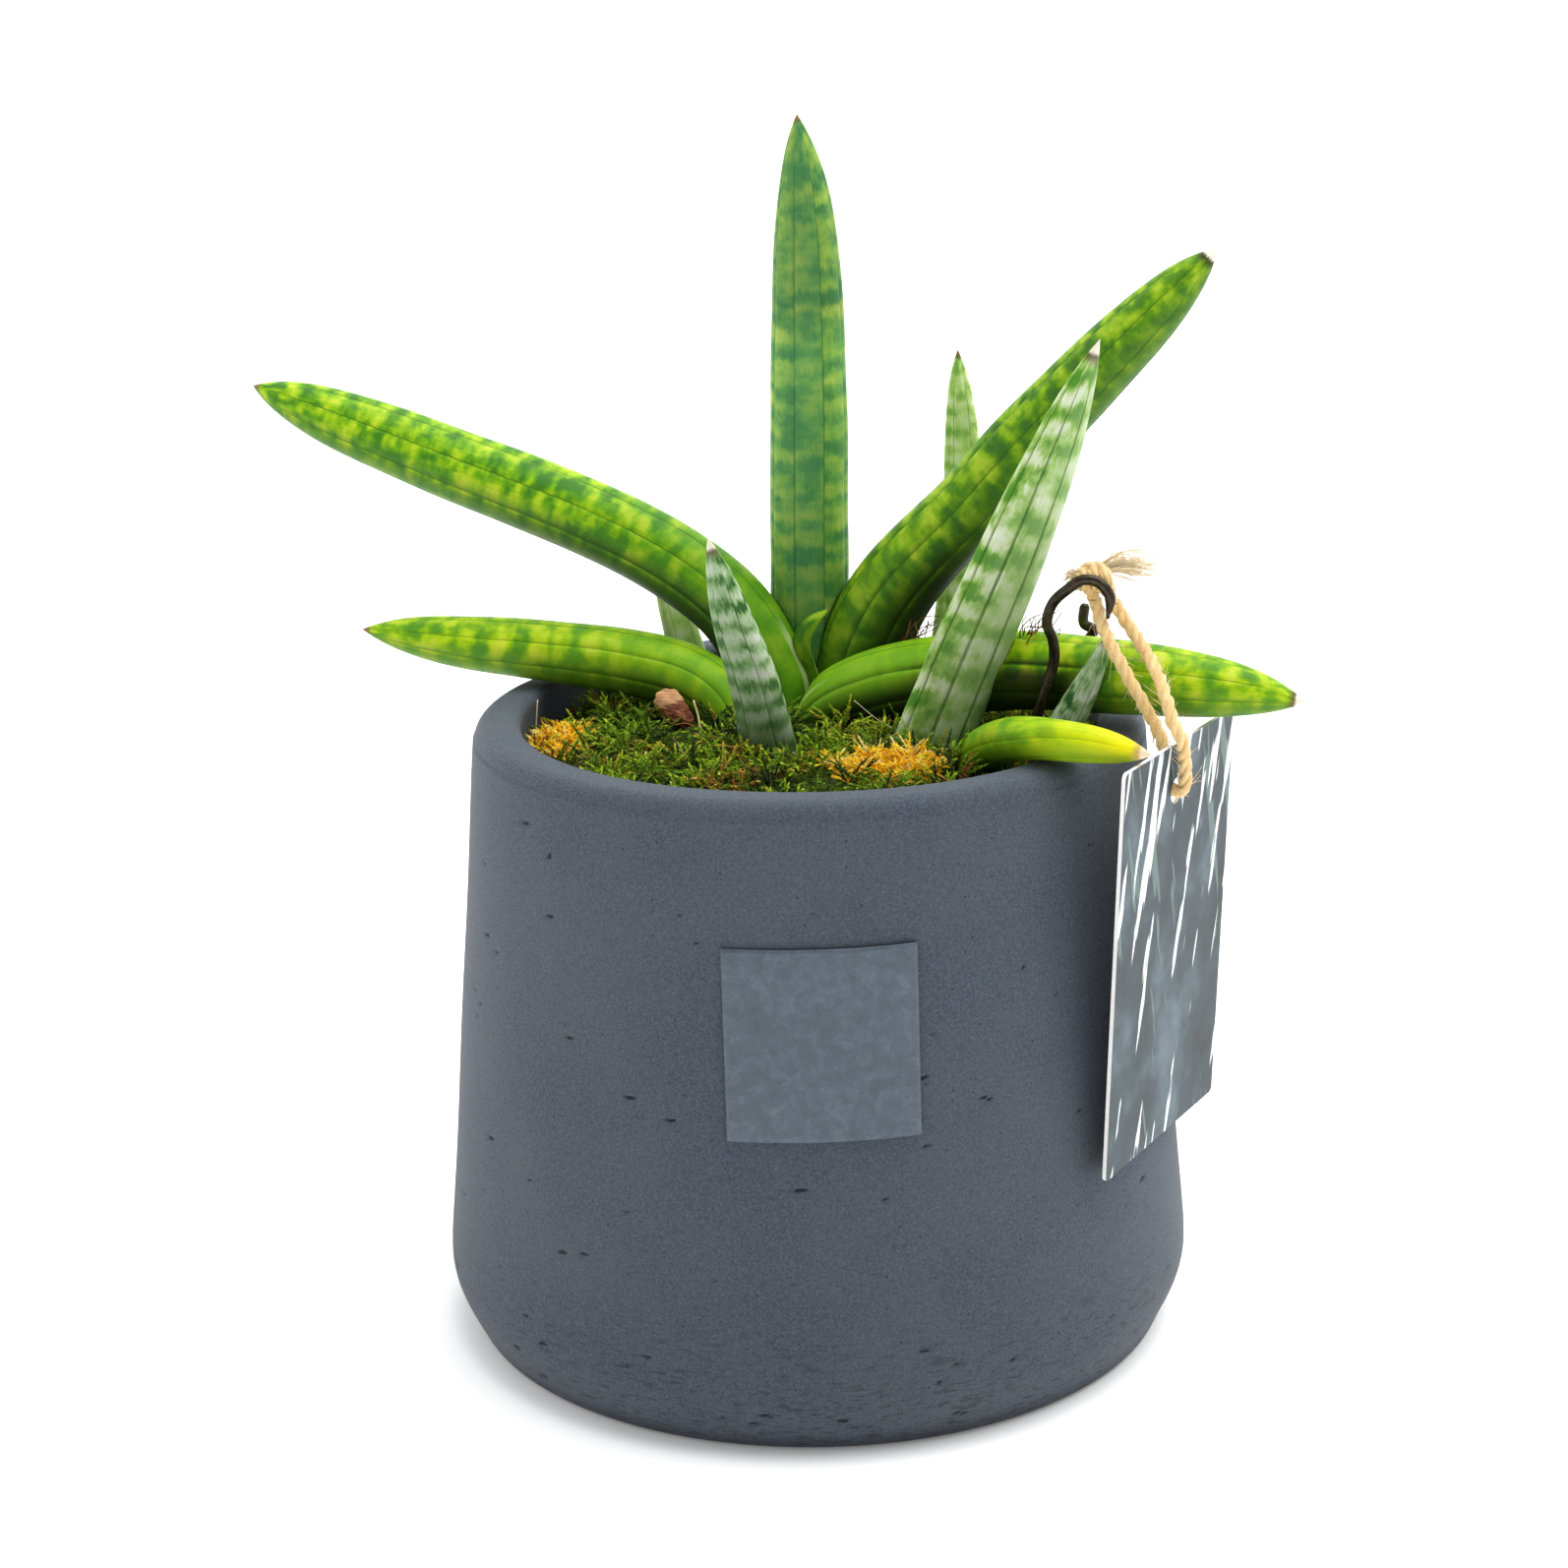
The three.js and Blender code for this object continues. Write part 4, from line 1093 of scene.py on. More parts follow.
class Leaf:
    """The shape of one leaf."""

    def __init__(self, name):
        self.name = name
        self.facts = LEAVES[name]
        self.route = Route(self.facts["points"])
        self.length = self.route.length
        sizes = self.facts["sizes"]
        self.width, self.base_width, self.tip_length, self.flat, self.channel, self.base_channel = sizes
        self.flare = self.facts.get("flare", USUAL_FLARE)
        self.grooves = 6 if self.width < NARROW_LEAF else 8
        self.seed = float(sum(ord(letter) for letter in name) % 97)

    def half_width(self, from_tip):
        tip = 1 - np.exp(-from_tip / self.tip_length)
        body = 1 - 0.16 * (1 - np.minimum(1, from_tip / 68))
        base = smoothstep(self.length - self.flare, self.length - self.flare * 0.35, from_tip)
        return tip * lerp(self.width * body, self.base_width, base) / 2

    def frames(self, from_tip):
        """Middle, side and inner direction of the rings at these distances from the tip."""
        centre = self.route.at(self.length - from_tip)
        along = self.route.direction(self.length - from_tip)
        inner = np.array(self.facts["inner"], float)
        inner = unit(inner - along * (along @ inner)[:, None])
        return centre, np.cross(along, inner), inner

    def stations(self, ring_step):
        """Distances from the tip of the rings, close together at the tip."""
        steps = max(3, round((self.length - TIP_STATIONS[-1]) / ring_step))
        body = np.linspace(TIP_STATIONS[-1], self.length, steps + 1)[1:]
        return np.concatenate([TIP_STATIONS, body])[::-1]

    def shape(self, ring_step, groove_depth, grow=0.0):
        """Points, faces and corner places (length from the tip, strip) of the leaf."""
        from_tip = self.stations(ring_step)
        strip = (np.arange(self.grooves)[:, None] + np.array(GROOVE_SHARES)).ravel()
        angle = CIRCLE * (strip + 0.5) / self.grooves
        share = strip % 1
        away = np.minimum(share, 1 - share) * 360 / self.grooves
        fade = smoothstep(1, 12, from_tip)[:, None]
        groove = groove_depth * np.exp(-((away / GROOVE_SPREAD) ** 2))
        groove = groove + SHOULDER_DEPTH * np.exp(-((away / SHOULDER_SPREAD) ** 2))
        ring = from_tip[:, None]
        wave = np.sin(ring / 11 + 2 * angle + self.seed) + np.sin(ring / 4.3 - angle)
        half = self.half_width(from_tip)[:, None]
        radius = half * (1 - fade * groove) + BLADE_WAVE * wave * fade + grow
        hollow_base = smoothstep(self.length - 26, self.length - 6, from_tip)
        hollow = lerp(self.channel * smoothstep(3, 20, from_tip), self.base_channel, hollow_base)[:, None]
        facing = np.maximum(0, np.cos(angle))
        depth = self.flat * np.cos(angle) * (1 - 1.25 * hollow * facing**2) * radius
        centre, side, inner = self.frames(from_tip)
        points = (
            centre[:, None]
            + side[:, None] * (radius * np.sin(angle))[..., None]
            + inner[:, None] * (depth + grow * 0.5 * facing)[..., None]
        )
        faces = closed_rings(len(from_tip), len(angle))
        return points.reshape(-1, 3), faces, self.corner_places(from_tip, strip)

    def corner_places(self, from_tip, strip):
        """The place on the leaf of each corner of its faces, in the faces' order."""
        around = len(strip)
        ends = np.append(strip, self.grooves)
        u = from_tip / UV_LENGTH
        quad_u = np.stack([u[:-1], u[:-1], u[1:], u[1:]], axis=-1)[:, None].repeat(around, axis=1)
        quad_v = np.stack([ends[:-1], ends[1:], ends[1:], ends[:-1]], axis=-1)
        quad_v = quad_v[None].repeat(len(u) - 1, axis=0)
        corners = np.stack([quad_u, quad_v], axis=-1).reshape(-1, 2)
        caps = [np.column_stack([np.full(around, place), strip]) for place in (u[0], u[-1])]
        return np.vstack([corners, *caps])


class LeafSkin(Shade):
    """The material of one leaf."""

    def __init__(self, leaf):
        super().__init__(leaf.name + "_skin", roughness=0.5, specular=0.12)
        self.leaf = leaf
        self.palette, self.period, self.patches, self.ragged, *evenness = leaf.facts["marks"]
        self.regular, self.plain, self.plain_length = evenness
        tones = [linear(tone) for tone in PALETTES[self.palette]]
        self.dark, self.middle, self.light, self.accent, self.painted_underside = tones
        place = self.add("UVMap", uv_map="UVMap").outputs[0]
        self.from_tip = self.times(self.axis(place, 0), float(UV_LENGTH))
        self.around = self.axis(place, 1)
        self.strip = self.math("FLOOR", self.around)
        self.up = self.axis(self.add("NewGeometry").outputs["Normal"], 2)
        self.comb = self.grain(self.from_tip, 0.3, self.around, 7.0, 0)
        self.fleck = self.grain(self.from_tip, 0.9, self.around, 9.0, 4, 4, 0.7)
        self.streak = self.grain(self.from_tip, 0.05, self.around, 14.0, 6)

    def grain(self, along, per_mm, across, per_strip, seed, detail=3, rough=0.6):
        """Noise with this many features per millimetre of length and per strip."""
        x = self.times(along, per_mm)
        y = self.times(across, per_strip)
        return self.noise(self.vector(x, y, self.leaf.seed + seed), 1.0, detail, rough)

    def paint(self):
        tint = self.own_tones(self.bands())
        tint = self.plain_base_and_painted_underside(tint)
        tint = self.gloom(tint)
        tint = self.groove_lines(tint)
        tint = self.margins(tint)
        tint = self.dried_tip(tint)
        self.bump(self.plus(self.streak, self.times(self.fleck, 0.6)), 0.12, 0.4)
        return self.finish(tint, self.step(self.fleck, 0.3, 0.7, 0.42, 0.58))

    def bands(self):
        """Torn bands, which lie a little further along in one strip than in the next."""
        seed = self.plus(self.strip, self.leaf.seed + 0.37)
        own = self.add("TexWhiteNoise", {"W": seed}, noise_dimensions="1D").outputs["Value"]
        along = self.plus(self.from_tip, self.about_zero(own, STRIP_SHIFT))
        along = self.plus(along, self.about_zero(self.comb, self.ragged * 4))
        cloud = self.grain(along, 1.6 / self.period, self.around, self.patches, 1, 2, 0.5)
        drift = self.grain(self.from_tip, 0.04, self.strip, 0.2, 2, 1)
        turn = self.plus(self.times(along, CIRCLE / self.period), self.times(drift, 9.0))
        wave = self.times(self.math("SINE", turn), 0.16 * self.regular)
        blotch = self.grain(self.from_tip, 0.22, self.around, 1.5, 9, 1.5)
        band = self.plus(self.about_zero(cloud, 1.25 * (1 - self.regular)), self.plus(wave, 0.5))
        band = self.plus(band, self.about_zero(blotch, 0.45))
        band = self.plus(band, self.about_zero(self.fleck, 0.2))
        cool = [self.dark[0] * 0.85, self.dark[1] * 0.95, self.dark[2] * 1.3]
        tones = [cool, self.dark, self.middle, self.light, self.accent]
        return self.ramp(band, list(zip((0.26, 0.36, 0.47, 0.58, 0.7), tones)))

    def own_tones(self, tint):
        """The blue-green front of the centre leaf, and the yellow end of the short one."""
        if self.palette == "deep":
            from_middle = self.math("ABSOLUTE", self.minus(self.around, self.leaf.grooves - 0.5))
            tint = self.blend(self.step(from_middle, 0.3, 1.6, 0.35, 0.0), tint, DEEP_MIDDLE)
        if self.palette == "yellow":
            yellow = self.ramp(self.times(self.from_tip, 1 / YELLOWING_LENGTH), YELLOWING)
            tint = self.blend(self.step(self.from_tip, 10, 24, 0.9, 0.5), tint, yellow)
        return tint

    def plain_base_and_painted_underside(self, tint):
        length = self.leaf.length
        start, full = length - self.plain_length, length - self.plain_length * 0.4
        base = self.step(self.from_tip, start, full, 0.0, self.plain)
        tint = self.blend(base, tint, [lerp(a, b, 0.6) for a, b in zip(self.dark, self.middle)])
        # Painted light and shade: faces that look downwards take the palette's underside colour.
        tint = self.blend(self.step(self.up, 0.3, -0.6, 0.0, 0.75), tint, self.painted_underside)
        grey = self.ramp(self.streak, [(0.3, "#d4d4d4"), (0.7, "#ffffff")])
        return self.blend(0.5, tint, grey, "MULTIPLY")

    # Painted shade over the stretches of a leaf that its gloom entries give.
    def gloom(self, tint):
        for start, full, end, share, slope in self.leaf.facts.get("gloom", []):
            hung = self.step(self.from_tip, start, full, 0.0, share)
            hung = self.times(hung, self.step(self.from_tip, end + 12, end, 0.0, 1.0))
            tint = self.blend(self.times(hung, self.step(self.up, slope, slope - 0.7)), tint, GLOOM)
        return tint

    def groove_lines(self, tint):
        share = self.math("FRACT", self.around)
        edge = self.math("MINIMUM", share, self.minus(1.0, share))
        wander = self.grain(self.from_tip, 0.05, self.strip, 1.0, 2, 2)
        thick = 2 if self.palette == "frosted" else 1
        strength = LINE_STRENGTH.get(self.palette, USUAL_LINE)
        line = self.step(edge, 0.012 * thick, 0.045 * thick, 1.0, 0.0)
        line = self.times(line, self.step(wander, 0.3, 0.6, strength * 0.5, strength))
        line = self.times(line, self.step(self.from_tip, 3, 12))
        return self.blend(line, tint, scaled(self.dark, 0.3))

    def margins(self, tint):
        for side, reach, half in self.leaf.facts.get("margins", []):
            away = self.math("ABSOLUTE", self.minus(self.around, side))
            near_base = self.step(self.from_tip, self.leaf.length - reach, self.leaf.length - reach * 0.75)
            share = self.times(self.step(away, half * 0.4, half, 0.9, 0.0), near_base)
            tint = self.blend(share, tint, MARGIN)
        return tint

    def dried_tip(self, tint):
        kind, dry = self.leaf.facts["tip"]
        point, ring = TIPS[kind]
        place = self.plus(self.from_tip, self.about_zero(self.comb, 2.0))
        tint = self.blend(self.step(place, dry * 1.7, dry, 0.0, 0.85), tint, ring)
        return self.blend(self.step(place, dry, dry * 0.75), tint, point)


class SNAKEPLANT_OT_leaves(bpy.types.Operator):
    """Grows the leaves and the scale between them, each cut where one clasps another"""

    bl_idname = "snakeplant.leaves"
    bl_label = "Leaves"

    def execute(self, context):
        leaves = context.scene.snakeplant_leaves
        step = leaves.ring_step / MM
        earlier = []
        for name in LEAVES:
            leaf = Leaf(name)
            points, faces, uvs = leaf.shape(step, leaves.groove_depth)
            piece = make_piece(name + "_blade", points, faces, [LeafSkin(leaf).paint()], name, uvs=uvs)
            low, high = points.min(0), points.max(0)
            near = [cutter for cutter, start, end in earlier if np.all(start < high) and np.all(end > low)]
            if near:
                cut_away(piece, near)
            points, faces, uvs = leaf.shape(step * 2, leaves.groove_depth, CUT_GAP)
            cutter = make_mesh(name + "_cutter", points, faces, uvs)
            earlier.append((cutter, points.min(0), points.max(0)))
        for cutter, _, _ in earlier:
            bpy.data.meshes.remove(cutter)
        return {"FINISHED"}


# Moss

GREEN_STOPS = [
    (0.05, "#1c2807"),
    (0.25, "#48680f"),
    (0.48, "#8cb818"),
    (0.66, "#c6e02c"),
    (0.78, "#dcbc48"),
    (0.92, "#b06e2c"),
]
TUFT_HALF = 1.5
TUFT_RISE = 2.0
SHORTEST_SHOOT = 1.6
SHOOT_STATIONS = 5
LEAFLETS = 22  # on each shoot
LEAFLET_TURN = 2.4  # from one leaflet to the next round the stem, in radians


def moss_height(x, y):
    broad = np.sin(0.21 * x + 1.3) * np.cos(0.17 * y - 0.4)
    middle = np.sin(0.52 * x - 0.31 * y + 2.1) * np.cos(0.44 * y + 0.27 * x)
    fine = np.sin(0.87 * x + 0.5 * y) * np.sin(0.83 * y - 0.6 * x + 0.8)
    share = np.hypot(x, y) / inner_radius(MOSS_EDGE)
    level = lerp(MOSS_MIDDLE, MOSS_EDGE, smoothstep(0.55, 1.02, share))
    return level + 0.9 * broad + 1.1 * middle + 0.8 * fine


@cache
def leaf_balls():
    """Middles and half widths all along the leaves, for keeping moss out of them."""
    middles = []
    radii = []
    for name in LEAVES:
        leaf = Leaf(name)
        from_tip = np.arange(1, leaf.length, 2.0)
        middles.append(leaf.route.at(leaf.length - from_tip))
        radii.append(leaf.half_width(from_tip))
    return np.vstack(middles), np.concatenate(radii)


def clear_height(x, y, z):
    """The height under the leaves above each place, and whether the place is inside a leaf."""
    middles, radii = leaf_balls()
    flat = np.hypot(x[:, None] - middles[:, 0], y[:, None] - middles[:, 1])
    over = flat < radii
    rise = np.sqrt(np.maximum(radii**2 - flat**2, 0))
    above = over & (middles[:, 2] + rise > z[:, None])
    ceiling = np.where(above, middles[:, 2] - rise, np.inf).min(axis=1)
    return ceiling, ceiling < z + 0.4


def shoot_stems(feet, heading, lean, lengths, random):
    """Middles and directions along curled stems, and the direction across each."""
    count = len(feet)
    start_lean = lean * random.uniform(0.6, 1.2, count)
    curl = random.uniform(-0.1, 1.2, count)
    tilt = start_lean[:, None] + curl[:, None] * np.linspace(0, 1, SHOOT_STATIONS)
    flat = np.stack([np.cos(heading), np.sin(heading), np.zeros(count)], axis=-1)
    across = unit(np.stack([-np.sin(heading), np.cos(heading), np.zeros(count)], axis=-1))
    along = np.sin(tilt)[..., None] * flat[:, None] + np.cos(tilt)[..., None] * np.array([0, 0, 1.0])
    step = (lengths / (SHOOT_STATIONS - 1))[:, None, None]
    moves = (along[:, :-1] + along[:, 1:]) / 2 * step
    centres = np.cumsum(np.concatenate([np.zeros((count, 1, 3)), moves], 1), 1)
    centres += feet[:, None]
    return centres, along, np.broadcast_to(across[:, None], along.shape)


def stem_bars(centres, along, across):
    """Three-sided bars along the stems, their faces and how much painted light their points get."""
    second = np.cross(along, across)
    angles = np.arange(3) * CIRCLE / 3
    t = np.linspace(0, 1, SHOOT_STATIONS)
    radius = lerp(0.22, 0.09, t)[None, :, None, None]
    ring = np.cos(angles)[:, None] * across[:, :, None] + np.sin(angles)[:, None] * second[:, :, None]
    points = (centres[:, :, None] + radius * ring).reshape(len(centres), -1, 3)
    quads = ring_faces(SHOOT_STATIONS, 3)
    last = 3 * (SHOOT_STATIONS - 1)
    ends = [[2, 1, 0], [last, last + 1, last + 2]]
    return points, np.vstack([quads[:, [0, 1, 2]], quads[:, [0, 2, 3]], ends]), np.repeat(t, 3)


def leaflet_spikes(centres, along, across, lengths, leaflets, random):
    """Pointed leaflets up the stems, each a closed spike, their faces and the painted light they get."""
    count = len(centres)
    where = np.linspace(0.12, 1, leaflets)
    index = np.minimum((where * (SHOOT_STATIONS - 1)).astype(int), SHOOT_STATIONS - 2)
    part = (where * (SHOOT_STATIONS - 1) - index)[:, None]
    foot = lerp(centres[:, index], centres[:, index + 1], part)
    forward = unit(lerp(along[:, index], along[:, index + 1], part))
    turn = ((np.arange(leaflets) * LEAFLET_TURN)[None] + random.uniform(0, 6, (count, 1)))[..., None]
    sideways = across[:, :1] * np.cos(turn) + np.cross(forward, across[:, :1]) * np.sin(turn)
    opening = (lerp(1.35, 0.35, where) + random.uniform(-0.2, 0.2, (count, leaflets)))[..., None]
    direction = forward * np.cos(opening) + sideways * np.sin(opening)
    side = unit(np.cross(direction, sideways + 0.01))
    upward = np.cross(direction, side)
    size = (np.sqrt(lengths)[:, None] * random.uniform(0.28, 0.46, (count, leaflets)))[..., None]
    half = size * 0.27
    apex = foot + direction * size + upward * size * 0.15
    spikes = np.stack([foot + side * half, foot - side * half, foot + upward * half, apex], axis=2)
    faces = np.array([[0, 1, 2], [1, 0, 3], [2, 1, 3], [0, 2, 3]])
    faces = (np.arange(leaflets)[:, None, None] * 4 + faces).reshape(-1, 3)
    light = (where[:, None] * 0.75 + np.array([0, 0, 0, 0.3])).ravel()
    return spikes.reshape(count, -1, 3), faces, light


def grow_shoots(
    name, feet, heading, lean, lengths, tones, random, material, node, slot=None, leaflets=LEAFLETS
):
    """Curled moss shoots with leaflets, as one piece."""
    count = len(feet)
    stems = shoot_stems(feet, heading, lean, lengths, random)
    stem_points, stem_faces, stem_light = stem_bars(*stems)
    spike_points, spike_faces, spike_light = leaflet_spikes(*stems, lengths, leaflets, random)
    points = np.concatenate([stem_points, spike_points], axis=1)
    faces = np.vstack([stem_faces, spike_faces + stem_points.shape[1]])
    faces = (np.arange(count)[:, None, None] * points.shape[1] + faces).reshape(-1, 3)
    light = np.tile(np.concatenate([stem_light, spike_light]), count)
    values = {"tone": np.repeat(tones, points.shape[1]), "light": light}
    return make_piece(name, points.reshape(-1, 3), faces, [material], node, values=values, smooth=False)


def open_moss(x, y):
    """Where green moss may grow: not on the dried patches, nor on or before the bark."""
    free = ~((np.abs(x - BARK_PLACE[0]) < 6) & (y > BARK_PLACE[1] - 8) & (y < BARK_PLACE[1] + 4))
    for patch in DRY_PATCHES.values():
        a, b = on_patch(patch, x, y)
        free &= a**2 + b**2 > 0.8
    return free


def shoot_material(name, stops, foot_shade, middle_shade):
    """The colour of shoots, with painted shade that makes them darker towards their feet."""
    shade = Shade(name, roughness=0.75, specular=0.3)
    grain = shade.noise(shade.place(), 1.3, 2, 0.6)
    tone = shade.plus(shade.attribute("tone"), shade.about_zero(grain, 0.3))
    shadow = [(0.0, foot_shade), (0.55, middle_shade), (1.0, "#ffffff")]
    shadow = shade.ramp(shade.attribute("light"), shadow)
    shade.bump(grain, 0.2, 0.4)
    return shade.finish(shade.blend(0.9, shade.ramp(tone, stops), shadow, "MULTIPLY"))


def bed_material():
    stops = [(0.3, "#171b0a"), (0.5, "#303d12"), (0.66, "#50621a"), (0.8, "#67572a")]
    return grain_material("moss_bed_brown", stops, 0.95, 0.1, grain=(0.8, 4, 0.7), relief=(1.0, 0.8))


class SNAKEPLANT_OT_moss(bpy.types.Operator):
    """Lays the moss bed and grows its shoots"""

    bl_idname = "snakeplant.moss"
    bl_label = "Moss"

    def execute(self, context):
        moss = context.scene.snakeplant_moss
        self.bed()
        random = np.random.default_rng(31)
        tufts = moss.tufts // 1
        radius = inner_radius(MOSS_EDGE) - 2.2
        material = shoot_material("moss_shoots", GREEN_STOPS, "#46463a", "#c8c8b8")
        angle = random.uniform(0, CIRCLE, tufts)
        from_middle = radius * np.sqrt(random.uniform(0, 1, tufts))
        middles = np.column_stack([from_middle * np.cos(angle), from_middle * np.sin(angle)])
        tone = 0.47 + random.normal(size=tufts) * 0.2
        tone += 0.2 * smoothstep(-48, -60, middles[:, 0]) + 0.2 * smoothstep(-46, -58, middles[:, 1])
        of_tuft = np.repeat(np.arange(tufts), moss.shoots)
        count = len(of_tuft)
        spread = random.normal(size=(count, 2)) * TUFT_HALF
        place = middles[of_tuft] + spread
        outwards = np.hypot(*spread.T)
        heading = np.arctan2(spread[:, 1], spread[:, 0]) + random.normal(size=count) * 0.6
        lean = 0.35 + 0.3 * outwards
        rise = TUFT_RISE * np.exp(-((outwards / 2.4) ** 2)) - 0.5
        feet = np.column_stack([place, moss_height(*place.T) + rise])
        lengths = moss.shoot_length / MM * random.uniform(0.65, 1.2, count)
        ceiling, inside = clear_height(*feet.T)
        lengths = np.minimum(lengths, (ceiling - feet[:, 2]) * 0.95)
        in_pot = np.hypot(*place.T) < radius
        keep = ~inside & (lengths > SHORTEST_SHOOT) & in_pot & open_moss(*place.T)
        order = np.flatnonzero(keep)
        order = order[np.argsort(feet[order, 1], kind="stable")]
        tones = tone[of_tuft] + random.normal(size=count) * 0.06
        half = len(order) // 2
        for name, chosen in (("moss_shoots_front", order[:half]), ("moss_shoots_back", order[half:])):
            picked = (values[chosen] for values in (feet, heading, lean, lengths, tones))
            grow_shoots(name, *picked, random, material, None, "moss_mat")
        return {"FINISHED"}

    def bed(self):
        """The lumpy ground that the shoots grow from, with holes for the leaves."""
        outer = inner_radius(MOSS_EDGE) - 0.7
        angle, share = dome_grid(160, 44, 0.02)
        x = outer * share * np.cos(angle)
        y = outer * share * np.sin(angle)
        rough = 0.35 * np.sin(x * 2.1 + 0.6 * y) * np.sin(y * 1.9 - 0.4 * x)
        rough = rough + 0.25 * np.sin(x * 3.7) * np.sin(y * 3.3)
        z = moss_height(x, y) + rough - 0.3
        z[0] = SOIL_TOP + 0.35
        points = np.stack([x, y, z], axis=-1).reshape(-1, 3)
        bed = make_piece("moss_bed", points, closed_rings(*x.shape), [bed_material()], "moss_mat")
        holes = [make_mesh(name + "_hole", *Leaf(name).shape(6.0, 0.05, 0.3)) for name in LEAVES]
        cut_away(bed, holes)


# Dried moss, bark and litter

DRY_PATCHES = {
    "dry_moss_front": {"middle": (15.5, -30), "halves": (12, 7), "turn": 0.1, "thickness": 1.6, "tone": 0.6},
    "dry_moss_left": {"middle": (-52, 0), "halves": (10, 5), "turn": 1.45, "thickness": 1.4, "tone": 0.6},
}
DRY_STOPS = [(0.05, "#8a5410"), (0.28, "#e8a814"), (0.46, "#ffd414"), (0.74, "#ffec4c"), (0.95, "#fff0b0")]
DRY_SHOOTS = 420
DRY_LEAFLETS = 16
BARK_PLACE = (-27.4, 4.5, 130.6)
BARK_HALVES = (7.0, 3.4, 4.6)
BARK_CHIPS = 14  # flat sides that are struck off the bark
BARK_WORN = 144  # level above which its top is worn pale
STRAW = [(-58, 5.8, 122.8), (-57.9, 5.6, 127), (-57.2, 5, 134.2)]
PALE_FLAKE = [(-22.8, 0, 127.1), (-23.2, 1.6, 130.6), (-24.2, 3, 134)]
COBWEB = [(9.5, -2, 134.7), (15, -5.5, 130.9), (20.9, -8, 128.5)]
DEAD_STEMS = [(20.9, 12, 143.1), (25.8, 12, 147.8)]
HOOK_STEMS = [(46, -6, 148.5), (48.6, -8, 153)]
LOOSE_FIBRES = 70
LOOSE_RADIUS = 62  # from the pot's middle, within which loose fibres lie


def from_patch(patch, share, angle):
    """The place at this angle and share of the way out on a dried patch."""
    a = patch["halves"][0] * share * np.cos(angle)
    b = patch["halves"][1] * share * np.sin(angle)
    cos, sin = math.cos(patch["turn"]), math.sin(patch["turn"])
    return patch["middle"][0] + a * cos - b * sin, patch["middle"][1] + a * sin + b * cos


def on_patch(patch, x, y):
    """Places on a dried patch, as shares of its two half widths."""
    x, y = x - patch["middle"][0], y - patch["middle"][1]
    cos, sin = math.cos(patch["turn"]), math.sin(patch["turn"])
    return (x * cos + y * sin) / patch["halves"][0], (y * cos - x * sin) / patch["halves"][1]


def bark_material():
    """Layered bark whose top left corner is worn pale."""
    shade = Shade("bark", roughness=0.9, specular=0.2)
    where = shade.place()
    grain = shade.noise(shade.stretch(where, (0.5, 0.6, 2.6)), 0.9, 4, 0.65)
    stops = [(0.3, "#2e1a12"), (0.46, "#7a4430"), (0.6, "#a86a48"), (0.75, "#d8a880")]
    up_left = shade.plus(shade.axis(where, 2), shade.times(shade.axis(where, 0), -0.35))
    torn = shade.plus(up_left, shade.times(grain, 3.0))
    worn = shade.step(torn, BARK_WORN, BARK_WORN + 1.2, 0.0, 0.85)
    shade.bump(grain, 0.6, 0.8)
    return shade.finish(shade.blend(worn, shade.ramp(grain, stops), "#dca878"))


def fibre_material():
    shade = Shade("dry_fibre", roughness=0.8, specular=0.2)
    grain = shade.noise(shade.place(), 1.0, 3, 0.6)
    tone = shade.plus(shade.attribute("tone"), shade.about_zero(grain, 0.4))
    stops = [(0.1, "#4a2c14"), (0.45, "#a9743c"), (0.75, "#dcc08c"), (0.95, "#f5e8cc")]
    return shade.finish(shade.ramp(tone, stops))


